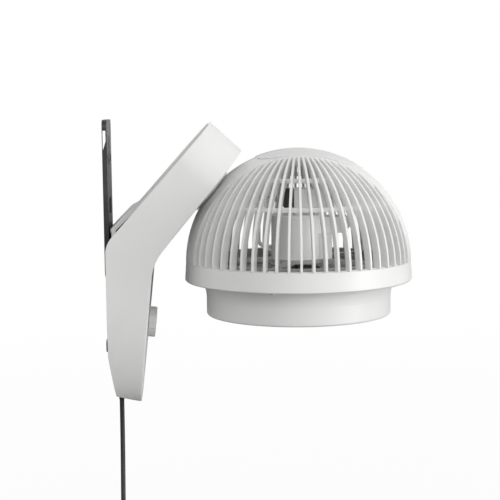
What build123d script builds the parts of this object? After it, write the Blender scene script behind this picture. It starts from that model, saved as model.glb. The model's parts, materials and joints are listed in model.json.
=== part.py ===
from build123d import *
import math
import os

# Wall mounted ball-head fan, in millimetres. +Z is up, +X points out of the wall and the
# origin is the centre of the wall plate's four screw holes, so the wall is the plane X = 0.

os.makedirs("parts", exist_ok=True)

# ---------------------------------------------------------------- fits
SLIDE_GAP = 0.3       # between curved faces of pieces that move past each other
RUNNING_GAP = 0.05    # radial, a shaft in its bearing
SEAT_GAP = 0.02       # radial, a piece pushed onto its shaft
DROP_IN_GAP = 0.2     # a piece laid into its pocket

# ---------------------------------------------------------------- head
HEAD_X = 204.0        # wall to the centre of the ball
HEAD_Z = -74.0        # ball centre, below the wall plate's centre
DOME_R = 120.0
BELT_HALF = 40.5      # half width of the solid belt over the dome
BELT_T = 2.8
SLAT_T = 2.4
SLAT_DEPTH = 9.0
SLAT_PITCH = 6.0      # degrees between two slats
SLAT_TO_BELT = 2.0    # least room between the belt's edge and the last slat's foot
HOOP_LEVELS = (0.515 * DOME_R, 0.745 * DOME_R)
HOOP_T = 4.5
HOOP_DEPTH = 4.0

RING_TOP = 1.8        # levels below are measured from the ball's centre
RING_BOTTOM = -18.6
RING_R = DOME_R + 1.2
RING_WALL = 2.5
WEB_T = 2.5
BARREL_TOP_R = DOME_R - 16.4
BARREL_R = BARREL_TOP_R - 5.2
BARREL_WALL = 2.6
BARREL_BOTTOM = -55.5
BARREL_LIP = 2.5

# ---------------------------------------------------------------- arm and lower body
BODY_WIDTH = 104.0
BODY_WALL = 2.8
NECK_REACH = DOME_R + 2.0   # ball centre to the arm's flat face
ARM_LEAN = 39.8       # arm's face, from the vertical
REAR_LEAN = 41.8      # arm's rear edge, from the vertical
ARM_DEPTH = 44.0      # at the arm's upper end
END_UP = 1.5          # centre of the rounded upper end, up the arm from the neck
END_DRAFT = 3.0       # degrees by which that end opens towards the rear
BEND_R = 52.0
REAR_BEND_R = 25.0
FRONT_LEAN = 6.0      # lower body's face, from the vertical
KNOB_Z = -136.4
FACE_X_AT_KNOB = 43.2
REAR_X = 1.8          # gap from the wall to the lower body
BOTTOM_FRONT_Z = -221.3
BOTTOM_REAR = (8.2, -213.0)
REAR_LOW_Z = -166.0
LOWER_END_LENGTH = 110.0   # half length of the rounded lower end
LOWER_FLAT = 2.5      # how much of that rounding the flat bottom takes off
BODY_EDGE_R = 1.2

COVER_T = 2.5
COVER_PROUD = 1.4
COVER_RIM = 4.5       # depth of the rim round the cover's inside
COVER_RIM_T = 2.5
WEDGE_START = 116.0   # down the rear edge, where the cover steps out towards the plate
WEDGE_RUN, WEDGE_RISE = 8.0, 3.1
WEDGE_FOOT = 6.8      # height it adds where its slope meets the recess
RECESS_X = 8.5        # cover's face behind the wall plate
RECESS_BOTTOM = -95.0
COVER_BOSS_R = 4.6
COVER_BOSS_DEPTH = 2.5
POST_R = 4.0
SCREW_R = 1.5
SCREW_HEAD_R = 3.0
SCREW_HEAD_T = 2.0
SCREW_LENGTH = 14.0

# ---------------------------------------------------------------- wall plate and hanger
PLATE_W = 72.0
PLATE_TOP = 79.0
PLATE_BOTTOM = -83.6
PLATE_DEPTH = 5.0
PLATE_T = 1.2
PLATE_CORNER = 8.0
WALL_HOLE_R = 2.5
WALL_HOLE_Y = 44.0
WALL_HOLE_Z = 76.0
DIMPLE_R = 6.0
HOOK_Y = 9.0
HOOK_W = 8.0
HOOK_Z = -60.0
HOOK_RISE = 12.0
HOOK_T = 1.5
HANGER_T = 1.4
HANGER_W = 56.0

# ---------------------------------------------------------------- neck
DISC_R = 25.5
COVER_CAP_T = 1.0     # raised cap over the belt
STEM_W = 14.0
STEM_ANGLE = 8.0      # degrees of the ball that the stem takes
SLOT_SIDE_GAP = 1.0
SLOT_END_GAP = 1.0    # degrees
TILT_TRAVEL = 70.0
SHOE_W = 40.0
SHOE_LENGTH = 33.0
SHOE_INNER = DOME_R - 11.0
HUB_R = 13.0
HUB_END = NECK_REACH + 16.0
BUSH_R = 17.0
BUSH_END = NECK_REACH + 12.0
BUSH_FLANGE_R = 21.0
BUSH_FLANGE_T = 2.0
CLIP_T = 2.0
CLIP_R = 18.5
OSC_MOTOR_R = 24.0
OSC_MOTOR_START = NECK_REACH + 22.0
OSC_MOTOR_T = 17.0
OSC_EAR_Y = 31.0
OSC_SHAFT_R = 4.0
TILT_BOLT_R = 3.0

# ---------------------------------------------------------------- fan motor and rotor
MOTOR_R = 28.5
MOTOR_BASE = 4.0
MOTOR_TOP = 51.0
MOTOR_WALL = 2.0
BEARING_R = 7.0
SHAFT_R = 3.0
HUB_CUP_R = 26.0
HUB_CUP_TOP = -7.0
HUB_CUP_BOTTOM = -38.0
BLADE_TIP_R = BARREL_R - BARREL_WALL - 4.5
BLADES = 5
SPIDER_ARMS = 5

# ---------------------------------------------------------------- controls
KNOB_R = 16.2
KNOB_HEIGHT = 8.0
KNOB_GAP = 0.4
PANEL_T = 1.5
PANEL_W = 80.0
PANEL_TOP_Z = -80.0
PANEL_BOTTOM_Z = -118.6
SWITCH_SIZE = 26.0
SWITCH_DEPTH = 13.0
BOARD_OFFSET = 37.3   # board's centre, up the face from the knob

# ---------------------------------------------------------------- cord
CORD_D = 5.0
CORD_X = 12.6
CORD_EXIT_Z = -221.5
CORD_POINTS = (
    (CORD_X, 0.0, CORD_EXIT_Z),
    (CORD_X, 0.0, -247.0),
    (CORD_X, -7.0, -291.0),
    (CORD_X, -18.4, -336.0),
    (CORD_X, -18.4, -378.0),
)
COIL_TURNS_PER_LAYER = 2
COIL_LAYERS = 4
COIL_MID_R = 27.0
COIL_PITCH = 5.5
TAIL = 24.0
PLUG_LENGTH = 34.0
PLUG_W = 26.0
PLUG_T = 14.0
PIN_R = 2.0
PIN_SPACING = 18.6
PIN_LENGTH = 19.0


def direction(lean):
    """Unit step in the side view, up along a line that leans out from the vertical."""
    return (math.sin(math.radians(lean)), math.cos(math.radians(lean)))


def step(point, way, length):
    return (point[0] + way[0] * length, point[1] + way[1] * length)


def meet(first, first_way, second, second_way):
    """Where two lines of the side view cross."""
    cross = first_way[0] * second_way[1] - first_way[1] * second_way[0]
    dx, dz = second[0] - first[0], second[1] - first[1]
    return step(first, first_way, (dx * second_way[1] - dz * second_way[0]) / cross)


def beside(points, shift):
    """An open line of the side view moved sideways, its corners mitred."""
    ways = []
    for start, end in zip(points, points[1:]):
        length = math.dist(start, end)
        ways.append(((end[0] - start[0]) / length, (end[1] - start[1]) / length))
    moved = []
    for index, point in enumerate(points):
        before = ways[max(index - 1, 0)]
        after = ways[min(index, len(ways) - 1)]
        side = (before[1] + after[1], -before[0] - after[0])
        scale = 2 * shift / (side[0] ** 2 + side[1] ** 2)
        moved.append(step(point, side, scale))
    return moved


def on_ball(angle, radius):
    """Side view point at an angle from the ball's top, positive away from the wall."""
    way = direction(angle)
    return (HEAD_X + way[0] * radius, HEAD_Z + way[1] * radius)


def extrude_ring(plane, start, length, radius, bore=0.0, mode=Mode.ADD):
    """A round slice on a plane, with or without a bore."""
    with BuildSketch(plane.offset(start)) as section:
        Circle(radius)
        if bore:
            Circle(bore, mode=Mode.SUBTRACT)
    extrude(section.sketch, amount=length, mode=mode)


def extrude_side(points, half_width, middle=0.0, mode=Mode.ADD):
    """A closed outline of the side view, made into a solid across the object."""
    with BuildSketch(Plane.XZ.offset(-middle)) as section:
        with BuildLine():
            Polyline(*points, close=True)
        make_face()
    extrude(section.sketch, amount=half_width, both=True, mode=mode)


def finish(piece, name):
    piece.part.label = name
    export_step(piece.part, f"parts/{name}.step")


# ---------------------------------------------------------------- construction planes
NECK_ANGLE = 90.0 - ARM_LEAN
NECK_WAY = (-math.sin(math.radians(NECK_ANGLE)), math.cos(math.radians(NECK_ANGLE)))
ARM_WAY = direction(ARM_LEAN)
REAR_WAY = direction(REAR_LEAN)
FRONT_WAY = direction(FRONT_LEAN)
HEAD_CENTRE = (HEAD_X, 0, HEAD_Z)
HEAD = Plane(origin=HEAD_CENTRE)
HEAD_SIDE = Plane(origin=HEAD_CENTRE, x_dir=(1, 0, 0), z_dir=(0, -1, 0))
NECK = Plane(
    origin=HEAD_CENTRE,
    x_dir=(ARM_WAY[0], 0, ARM_WAY[1]),
    z_dir=(NECK_WAY[0], 0, NECK_WAY[1]),
)
END_ANGLE = math.radians(NECK_ANGLE - END_DRAFT)
END_WAY = (-math.sin(END_ANGLE), math.cos(END_ANGLE))
FACE = Plane(
    origin=(FACE_X_AT_KNOB, 0, KNOB_Z),
    x_dir=(0, 1, 0),
    z_dir=(FRONT_WAY[1], 0, -FRONT_WAY[0]),
)

# ---------------------------------------------------------------- outline of the body
ARM_FACE_POINT = step((HEAD_X, HEAD_Z), NECK_WAY, NECK_REACH)
END_CENTRE = step(ARM_FACE_POINT, ARM_WAY, END_UP)
FRONT_TOP = step(END_CENTRE, ARM_WAY, BODY_WIDTH / 2)
REAR_TOP = step(FRONT_TOP, END_WAY, ARM_DEPTH / math.cos(math.radians(END_DRAFT)))
BEND = meet(ARM_FACE_POINT, ARM_WAY, (FACE_X_AT_KNOB, KNOB_Z), FRONT_WAY)
REAR_BEND = meet(REAR_TOP, REAR_WAY, (REAR_X, 0), (0, 1))
BOTTOM_FRONT = meet((FACE_X_AT_KNOB, KNOB_Z), FRONT_WAY, (0, BOTTOM_FRONT_Z), (1, 0))
BOTTOM_LENGTH = math.dist(BOTTOM_REAR, BOTTOM_FRONT)
BOTTOM_WAY = (
    (BOTTOM_REAR[0] - BOTTOM_FRONT[0]) / BOTTOM_LENGTH,
    (BOTTOM_REAR[1] - BOTTOM_FRONT[1]) / BOTTOM_LENGTH,
)
REAR_LOW = (REAR_X, REAR_LOW_Z)
LOWER_CENTRE_Z = BOTTOM_FRONT[1] + LOWER_END_LENGTH - LOWER_FLAT
REAR_EDGE = Plane(
    origin=(REAR_TOP[0], 0, REAR_TOP[1]),
    x_dir=(-REAR_WAY[0], 0, -REAR_WAY[1]),
    z_dir=(-REAR_WAY[1], 0, REAR_WAY[0]),
)


END = Plane(
    origin=(END_CENTRE[0], 0, END_CENTRE[1]),
    x_dir=(END_WAY[1], 0, -END_WAY[0]),
    z_dir=(END_WAY[0], 0, END_WAY[1]),
)


def trim_outline(inset):
    """Rounds the two ends of a body slice: a half round above, a long half oval below."""
    half = BODY_WIDTH / 2 - inset
    reach = 3 * BODY_WIDTH
    with BuildSketch(END) as upper:
        Circle(half)
        with Locations((-reach / 2, 0)):
            Rectangle(reach, 2 * half)
    extrude(upper.sketch, amount=reach, both=True, mode=Mode.INTERSECT)
    with BuildSketch(Plane.YZ) as lower:
        with Locations((0, LOWER_CENTRE_Z)):
            Ellipse(half, LOWER_END_LENGTH - inset)
        with Locations((0, LOWER_CENTRE_Z + reach / 2)):
            Rectangle(2 * half, reach)
    extrude(lower.sketch, amount=reach, both=True, mode=Mode.INTERSECT)


def body_block(inset):
    """The bent body as a solid block, its skin moved inwards by the inset."""
    with BuildPart() as block:
        with BuildSketch(Plane.XZ) as profile:
            with BuildLine():
                Polyline(
                    FRONT_TOP, BEND, BOTTOM_FRONT, BOTTOM_REAR, REAR_LOW, REAR_BEND, REAR_TOP,
                    close=True,
                )
            make_face()
            fillet(profile.vertices().sort_by_distance((BEND[0], BEND[1], 0))[0], BEND_R)
            fillet(profile.vertices().sort_by_distance((REAR_BEND[0], REAR_BEND[1], 0))[0], REAR_BEND_R)
            if inset:
                offset(amount=-inset, kind=Kind.INTERSECTION, mode=Mode.REPLACE)
        extrude(amount=BODY_WIDTH / 2 - inset, both=True)
        trim_outline(inset)
    return block.part


def rear_opening(inset):
    """What the rear cover closes: everything between the side walls and behind the cavity."""
    depth, reach = 10.0, 60.0
    top = step(REAR_TOP, ARM_WAY, -inset)
    bottom = step(BOTTOM_FRONT, (-BOTTOM_WAY[1], BOTTOM_WAY[0]), -inset)
    outline = [
        step(top, END_WAY, -depth),
        step(top, END_WAY, reach),
        (-reach, REAR_BEND[1]),
        step(bottom, BOTTOM_WAY, BOTTOM_LENGTH + reach),
        step(bottom, BOTTOM_WAY, BOTTOM_LENGTH - depth),
        (REAR_X + depth, REAR_BEND[1]),
    ]
    with BuildPart() as opening:
        extrude_side(outline, BODY_WIDTH)
        trim_outline(inset)
    return opening.part


block_outside = body_block(0)
block_inside = body_block(BODY_WALL)
block_under_panel = body_block(PANEL_T)
PANEL_MIDDLE_Z = (PANEL_TOP_Z + PANEL_BOTTOM_Z) / 2
PANEL_H = PANEL_TOP_Z - PANEL_BOTTOM_Z
PANEL_X = FACE_X_AT_KNOB / 2

# Screws through the rear cover: up the arm on its rear edge line, and low in the body.
ARM_POSTS = [(35.0, 40.0), (35.0, -40.0), (112.0, 41.0), (112.0, -41.0)]
LOW_POSTS = [(41.0, -132.0), (-41.0, -132.0), (19.0, -197.0), (-19.0, -197.0)]
COVER_INNER = COVER_T - COVER_PROUD
ARM_POST_START = COVER_INNER + COVER_BOSS_DEPTH
LOW_POST_DEPTH = COVER_T + COVER_BOSS_DEPTH


def arm_depth_at(distance):
    """Depth of the housing, square to its rear edge, some way down from the arm's top."""
    return ARM_DEPTH + distance * math.tan(math.radians(REAR_LEAN - ARM_LEAN))


def face_x_at(z):
    return FACE_X_AT_KNOB + (z - KNOB_Z) * math.tan(math.radians(FRONT_LEAN))


def back_x_at(z):
    """The lower body's back, which leaves the wall below its low corner."""
    below = max(REAR_LOW_Z - z, 0.0) / (REAR_LOW_Z - BOTTOM_REAR[1])
    return REAR_X + below * (BOTTOM_REAR[0] - REAR_X)


# ---------------------------------------------------------------- wall plate
SLOT_LOW, SLOT_HIGH = 29.0, 63.0
WINDOW_LOW, WINDOW_SHOULDER, WINDOW_HIGH = 47.7, 57.0, 68.0
WINDOW_X = 0.8

with BuildPart() as wall_plate:
    plate_middle = (PLATE_TOP + PLATE_BOTTOM) / 2
    plate_h = PLATE_TOP - PLATE_BOTTOM
    with BuildSketch(Plane.YZ):
        with Locations((0, plate_middle)):
            RectangleRounded(PLATE_W, plate_h, PLATE_CORNER)
    extrude(amount=PLATE_DEPTH)
    with BuildSketch(Plane.YZ):
        with Locations((0, plate_middle)):
            RectangleRounded(PLATE_W - 2 * PLATE_T, plate_h - 2 * PLATE_T, PLATE_CORNER - PLATE_T)
    extrude(amount=PLATE_DEPTH - PLATE_T, mode=Mode.SUBTRACT)
    with BuildSketch(Plane.YZ):
        with GridLocations(WALL_HOLE_Y, WALL_HOLE_Z, 2, 2):
            Circle(DIMPLE_R)
    extrude(amount=PLATE_DEPTH - PLATE_T)
    with BuildSketch(Plane.YZ):
        with GridLocations(WALL_HOLE_Y, WALL_HOLE_Z, 2, 2):
            Circle(WALL_HOLE_R)
        with Locations((0, (SLOT_LOW + SLOT_HIGH) / 2)):
            SlotOverall(SLOT_HIGH - SLOT_LOW, 8.0, rotation=90)
        with Locations((0, -12.0)):
            Rectangle(30.0, 18.0)
    extrude(amount=PLATE_DEPTH, mode=Mode.SUBTRACT)
    with BuildSketch(Plane.YZ.offset(PLATE_T)):
        with GridLocations(WALL_HOLE_Y, WALL_HOLE_Z, 2, 2):
            Circle(DIMPLE_R - PLATE_T)
    extrude(amount=PLATE_DEPTH, mode=Mode.SUBTRACT)
    window = [
        (WINDOW_X, WINDOW_LOW),
        (PLATE_DEPTH - PLATE_T, WINDOW_SHOULDER),
        (PLATE_DEPTH - PLATE_T, WINDOW_HIGH),
        (WINDOW_X, WINDOW_HIGH),
    ]
    extrude_side(window, PLATE_W, mode=Mode.SUBTRACT)
    hook_front = PLATE_DEPTH + DROP_IN_GAP + HANGER_T + DROP_IN_GAP + HOOK_T
    hook = [
        (PLATE_DEPTH - PLATE_T / 2, HOOK_Z),
        (hook_front, HOOK_Z),
        (hook_front, HOOK_Z + HOOK_RISE),
        (hook_front - HOOK_T, HOOK_Z + HOOK_RISE),
        (hook_front - HOOK_T, HOOK_Z + HOOK_T),
        (PLATE_DEPTH - PLATE_T / 2, HOOK_Z + HOOK_T),
    ]
    for hook_y in (-HOOK_Y, HOOK_Y):
        extrude_side(hook, HOOK_W / 2, hook_y)
finish(wall_plate, "wall_plate")

# ---------------------------------------------------------------- hanger on the rear cover
HANGER_X = PLATE_DEPTH + DROP_IN_GAP
REAR_NORMAL = (-REAR_WAY[1], REAR_WAY[0])
COVER_TOP = step(REAR_TOP, REAR_NORMAL, COVER_PROUD)
RECESS_TOP = meet(COVER_TOP, REAR_WAY, (RECESS_X, 0), (0, 1))[1] + WEDGE_FOOT
HANGER_TOP = RECESS_TOP - 1.0
HANGER_PAD = 8.5
HANGER_LOW = -92.0
HANGER_SCREW_Y = 20.0
HANGER_SCREW_R = 2.0
HANGER_HEAD_R = 3.6
HANGER_HEAD_T = 1.8
HANGER_SCREW_LENGTH = 11.0
hanger_screw_levels = (HANGER_TOP - HANGER_PAD / 2, HANGER_LOW + HANGER_PAD / 2)

with BuildPart() as hanger:
    front_line = [
        (RECESS_X, HANGER_LOW),
        (RECESS_X, HANGER_LOW + HANGER_PAD),
        (HANGER_X + HANGER_T, HANGER_LOW + HANGER_PAD + 3.0),
        (HANGER_X + HANGER_T, HANGER_TOP - HANGER_PAD - 3.0),
        (RECESS_X, HANGER_TOP - HANGER_PAD),
        (RECESS_X, HANGER_TOP),
    ]
    extrude_side(front_line + beside(front_line, -HANGER_T)[::-1], HANGER_W / 2)
    with BuildSketch(Plane.YZ):
        with Locations((0, HOOK_Z + HOOK_T - 12.0)):
            with GridLocations(2 * HOOK_Y, 1, 2, 1):
                Rectangle(HOOK_W + 2.0, 24.0)
        for level in hanger_screw_levels:
            with Locations((0, level)):
                with GridLocations(2 * HANGER_SCREW_Y, 1, 2, 1):
                    Circle(HANGER_SCREW_R + 0.2)
    extrude(amount=RECESS_X + 1, mode=Mode.SUBTRACT)
finish(hanger, "hanger_bracket")

with BuildPart() as hanger_screws:
    for level in hanger_screw_levels:
        for screw_y in (-HANGER_SCREW_Y, HANGER_SCREW_Y):
            spot = Plane.YZ.offset(RECESS_X).shift_origin((RECESS_X, screw_y, level))
            extrude_ring(spot, -HANGER_T - HANGER_HEAD_T, HANGER_HEAD_T, HANGER_HEAD_R)
            extrude_ring(spot, -HANGER_T, HANGER_SCREW_LENGTH, HANGER_SCREW_R)
finish(hanger_screws, "hanger_screws")

# ---------------------------------------------------------------- rear cover
FOOT_Y = 33.0
FOOT_Z = -155.8
FOOT_W = 16.0
FOOT_H = 12.0
FOOT_SEAT = 1.5
HANGER_BOSS_R = 4.2
GLAND_R = 4.8
GLAND_FLANGE_R = 5.6
GLAND_TOP = -189.8
GLAND_FLANGE_Z = -209.2
GLAND_NOTCH = 40.0
wedge_top = step(COVER_TOP, REAR_WAY, -WEDGE_START)
cover_back = [
    step(COVER_TOP, REAR_WAY, COVER_T),
    wedge_top,
    step(step(wedge_top, REAR_WAY, -WEDGE_RUN), REAR_NORMAL, WEDGE_RISE),
    (RECESS_X, RECESS_TOP),
    (RECESS_X, RECESS_BOTTOM),
    (REAR_X, RECESS_BOTTOM - 6.0),
    REAR_LOW,
    (back_x_at(BOTTOM_FRONT_Z), BOTTOM_FRONT_Z),
]

with BuildPart() as cover_hollow:
    extrude_side(
        beside(cover_back, -COVER_T) + beside(cover_back, -COVER_RIM - 1.0)[::-1], BODY_WIDTH
    )
    add(rear_opening(BODY_WALL + DROP_IN_GAP + COVER_RIM_T), mode=Mode.INTERSECT)

with BuildPart() as rear_cover:
    extrude_side(cover_back + beside(cover_back, -COVER_RIM)[::-1], BODY_WIDTH)
    add(rear_opening(BODY_WALL + DROP_IN_GAP), mode=Mode.INTERSECT)
    add(cover_hollow.part, mode=Mode.SUBTRACT)
    for along, across in ARM_POSTS:
        spot = REAR_EDGE.shift_origin(REAR_EDGE.from_local_coords(Vector(along, across, 0)))
        extrude_ring(spot, -ARM_POST_START, ARM_POST_START + COVER_PROUD, COVER_BOSS_R)
        extrude_ring(spot, COVER_PROUD - SCREW_HEAD_T - 0.4, 9.0, SCREW_HEAD_R + 0.3, mode=Mode.SUBTRACT)
        extrude_ring(spot, -20.0, 30.0, SCREW_R + 0.2, mode=Mode.SUBTRACT)
    for across, level in LOW_POSTS:
        spot = Plane.YZ.shift_origin((0, across, level))
        back = back_x_at(level)
        extrude_ring(spot, back, LOW_POST_DEPTH, COVER_BOSS_R)
        extrude_ring(spot, -5.0, 5.0 + back + SCREW_HEAD_T + 0.4, SCREW_HEAD_R + 0.3, mode=Mode.SUBTRACT)
        extrude_ring(spot, -5.0, 25.0, SCREW_R + 0.2, mode=Mode.SUBTRACT)
    for level in hanger_screw_levels:
        for screw_y in (-HANGER_SCREW_Y, HANGER_SCREW_Y):
            spot = Plane.YZ.shift_origin((0, screw_y, level))
            extrude_ring(spot, RECESS_X, HANGER_SCREW_LENGTH, HANGER_BOSS_R)
            extrude_ring(
                spot, RECESS_X, HANGER_SCREW_LENGTH, HANGER_SCREW_R + SEAT_GAP, mode=Mode.SUBTRACT
            )
    with BuildSketch(Plane.YZ.offset(REAR_X)):
        with Locations((0, FOOT_Z)):
            with GridLocations(2 * FOOT_Y, 1, 2, 1):
                RectangleRounded(FOOT_W, FOOT_H, 3.0)
    extrude(amount=FOOT_SEAT, mode=Mode.SUBTRACT)
    with BuildSketch(Plane.YZ):
        with Locations((0, GLAND_TOP - GLAND_NOTCH / 2)):
            Rectangle(2 * GLAND_FLANGE_R + 0.8, GLAND_NOTCH + 2)
    extrude(amount=HEAD_X, mode=Mode.SUBTRACT)
finish(rear_cover, "rear_cover")

with BuildPart() as rubber_feet:
    with BuildSketch(Plane.YZ):
        with Locations((0, FOOT_Z)):
            with GridLocations(2 * FOOT_Y, 1, 2, 1):
                RectangleRounded(FOOT_W - 0.2, FOOT_H - 0.2, 2.9)
    extrude(amount=REAR_X + FOOT_SEAT)
finish(rubber_feet, "rubber_feet")

# ---------------------------------------------------------------- housing
GLAND_HOLE_R = 3.9
KNOB_STEM_R = 5.0
LIGHT_R = 1.5
LIGHT_PITCH = 9.0
LIGHTS = 5
BOARD_W, BOARD_H, BOARD_T = 58.0, 28.0, 1.6
BOARD_DEPTH = 8.0
STANDOFF_R = 2.4

with BuildPart() as housing:
    add(block_outside)
    front_faces = housing.faces().filter_by(
        lambda face: face.normal_at().X > 0.5 and abs(face.normal_at().Y) < 0.1 and face.normal_at().Z < 0.05
    )
    rim = [
        edge
        for edge in front_faces.edges()
        if sum(edge.center().sub(other.center()).length < 1e-4 for other in front_faces.edges()) == 1
    ]
    fillet(rim, BODY_EDGE_R)
    add(block_inside, mode=Mode.SUBTRACT)
    add(rear_opening(BODY_WALL), mode=Mode.SUBTRACT)
    for along, across in ARM_POSTS:
        spot = REAR_EDGE.shift_origin(REAR_EDGE.from_local_coords(Vector(along, across, 0)))
        depth = arm_depth_at(along) - BODY_WALL / 2
        extrude_ring(spot, -depth, depth - ARM_POST_START, POST_R)
        extrude_ring(
            spot, -ARM_POST_START - SCREW_LENGTH, SCREW_LENGTH, SCREW_R + SEAT_GAP, mode=Mode.SUBTRACT
        )
    for across, level in LOW_POSTS:
        spot = Plane.YZ.shift_origin((0, across, level))
        post_start = back_x_at(level) + LOW_POST_DEPTH
        extrude_ring(spot, post_start, face_x_at(level) - BODY_WALL / 2 - post_start, POST_R)
        extrude_ring(spot, post_start, SCREW_LENGTH, SCREW_R + SEAT_GAP, mode=Mode.SUBTRACT)
    # neck hole and the two posts of the swing motor
    extrude_ring(NECK, NECK_REACH - 1, BODY_WALL + 2, BUSH_R + SEAT_GAP, mode=Mode.SUBTRACT)
    for ear_y in (-OSC_EAR_Y, OSC_EAR_Y):
        spot = NECK.shift_origin(NECK.from_local_coords(Vector(0, ear_y, 0)))
        post_start = NECK_REACH + BODY_WALL / 2
        extrude_ring(spot, post_start, OSC_MOTOR_START - post_start, POST_R)
        extrude_ring(spot, OSC_MOTOR_START - 10.0, 10.0, SCREW_R + SEAT_GAP, mode=Mode.SUBTRACT)
    # pocket of the panel, the knob's hole, the board's standoffs and the light holes
    with BuildPart(mode=Mode.PRIVATE) as pocket:
        with Locations((PANEL_X + BODY_WIDTH / 2, 0, PANEL_MIDDLE_Z)):
            Box(BODY_WIDTH, PANEL_W + 0.2, PANEL_H + 0.2)
        add(block_under_panel, mode=Mode.SUBTRACT)
    add(pocket.part, mode=Mode.SUBTRACT)
    extrude_ring(FACE, -BODY_WALL - 1, BODY_WALL + 2, KNOB_STEM_R + 0.4, mode=Mode.SUBTRACT)
    with BuildSketch(FACE.offset(-BOARD_DEPTH)):
        with Locations((0, BOARD_OFFSET)):
            with GridLocations(BOARD_W - 8.0, BOARD_H - 8.0, 2, 2):
                Circle(STANDOFF_R)
    extrude(amount=BOARD_DEPTH - PANEL_T - 0.4)
    with BuildSketch(FACE.offset(-BODY_WALL - 1)):
        with Locations((0, BOARD_OFFSET)):
            with GridLocations(LIGHT_PITCH, 1, LIGHTS, 1):
                Circle(LIGHT_R + 0.2)
    extrude(amount=BODY_WALL + 2, mode=Mode.SUBTRACT)
    with BuildSketch(Plane.XY.offset(BOTTOM_FRONT[1] - 5)):
        with Locations((CORD_X, 0)):
            Circle(GLAND_HOLE_R)
    extrude(amount=20.0, mode=Mode.SUBTRACT)
finish(housing, "housing")

with BuildPart() as cover_screws:
    for along, across in ARM_POSTS:
        spot = REAR_EDGE.shift_origin(REAR_EDGE.from_local_coords(Vector(along, across, 0)))
        seat = COVER_PROUD - SCREW_HEAD_T - 0.4
        extrude_ring(spot, seat, SCREW_HEAD_T, SCREW_HEAD_R)
        extrude_ring(spot, seat - SCREW_LENGTH + 1, SCREW_LENGTH - 1, SCREW_R)
    for across, level in LOW_POSTS:
        spot = Plane.YZ.shift_origin((0, across, level))
        seat = back_x_at(level) + SCREW_HEAD_T + 0.4
        extrude_ring(spot, seat - SCREW_HEAD_T, SCREW_HEAD_T, SCREW_HEAD_R)
        extrude_ring(spot, seat, SCREW_LENGTH - 1, SCREW_R)
finish(cover_screws, "cover_screws")

# ---------------------------------------------------------------- controls
with BuildPart() as display_panel:
    add(block_outside)
    with Locations((PANEL_X + BODY_WIDTH / 2, 0, PANEL_MIDDLE_Z)):
        Box(BODY_WIDTH, PANEL_W, PANEL_H, mode=Mode.INTERSECT)
    add(block_under_panel, mode=Mode.SUBTRACT)
    with BuildSketch(FACE.offset(-PANEL_T - 1)):
        with Locations((0, BOARD_OFFSET)):
            with GridLocations(LIGHT_PITCH, 1, LIGHTS, 1):
                Circle(LIGHT_R + SEAT_GAP)
    extrude(amount=PANEL_T + 2, mode=Mode.SUBTRACT)
finish(display_panel, "display_panel")

with BuildPart() as indicator_lights:
    with BuildSketch(FACE.offset(-BOARD_DEPTH)):
        with Locations((0, BOARD_OFFSET)):
            with GridLocations(LIGHT_PITCH, 1, LIGHTS, 1):
                Circle(LIGHT_R)
    extrude(amount=BOARD_DEPTH)
finish(indicator_lights, "indicator_lights")

with BuildPart() as control_board:
    with BuildSketch(FACE.offset(-BOARD_DEPTH - BOARD_T)):
        with Locations((0, BOARD_OFFSET)):
            Rectangle(BOARD_W, BOARD_H)
    extrude(amount=BOARD_T)
    with BuildSketch(FACE.offset(-BOARD_DEPTH - BOARD_T - 9.0)):
        with Locations((-16, BOARD_OFFSET)):
            Circle(5.0)
        with Locations((12, BOARD_OFFSET + 2)):
            Rectangle(18.0, 14.0)
    extrude(amount=9.0)
finish(control_board, "control_board")

SWITCH_FRONT = -BODY_WALL
with BuildPart() as rotary_switch:
    with BuildSketch(FACE.offset(SWITCH_FRONT - SWITCH_DEPTH)):
        RectangleRounded(SWITCH_SIZE, SWITCH_SIZE, 2.0)
    extrude(amount=SWITCH_DEPTH)
    with BuildSketch(FACE.offset(SWITCH_FRONT - SWITCH_DEPTH - 6.0)):
        with GridLocations(8.0, 10.0, 3, 2):
            Rectangle(4.0, 0.8)
    extrude(amount=6.0)
    extrude_ring(FACE, SWITCH_FRONT - 8.0, 8.0, SHAFT_R + RUNNING_GAP, mode=Mode.SUBTRACT)
finish(rotary_switch, "rotary_switch")

with BuildPart() as switch_shaft:
    extrude_ring(FACE, SWITCH_FRONT - 7.8, 7.8 - SWITCH_FRONT + 5.0, SHAFT_R)
finish(switch_shaft, "switch_shaft")

KNOB_GRIPS = 36
with BuildPart() as knob:
    extrude_ring(FACE, KNOB_GAP, KNOB_HEIGHT - KNOB_GAP, KNOB_R)
    fillet(knob.edges().filter_by(GeomType.CIRCLE).sort_by(lambda edge: edge.center().X)[-1], 1.2)
    extrude_ring(FACE, SWITCH_FRONT + KNOB_GAP, KNOB_GAP - SWITCH_FRONT, KNOB_STEM_R)
    with BuildSketch(FACE.offset(KNOB_GAP)):
        with PolarLocations(KNOB_R + 0.35, KNOB_GRIPS):
            Circle(0.8)
    extrude(amount=KNOB_HEIGHT - 2.2, mode=Mode.SUBTRACT)
    with BuildSketch(FACE.offset(KNOB_HEIGHT - 0.5)):
        with Locations((0, KNOB_R * 0.62)):
            SlotOverall(7.0, 1.6, rotation=90)
    extrude(amount=1.0, mode=Mode.SUBTRACT)
    extrude_ring(FACE, -10.0, 10.0 + 5.2, SHAFT_R + SEAT_GAP, mode=Mode.SUBTRACT)
finish(knob, "knob")

# ---------------------------------------------------------------- neck
HUB_START = NECK_REACH - DROP_IN_GAP
DISC_INNER_R = DOME_R + COVER_CAP_T + 0.4
STEM_LENGTH = 2 * DOME_R * math.sin(math.radians(STEM_ANGLE / 2))
STEM_START = DOME_R - 5.5
BOLT_END = NECK_REACH + 7.5
SPRING_T = 1.5
SHAFT_SOCKET = NECK_REACH + 9.0

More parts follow.
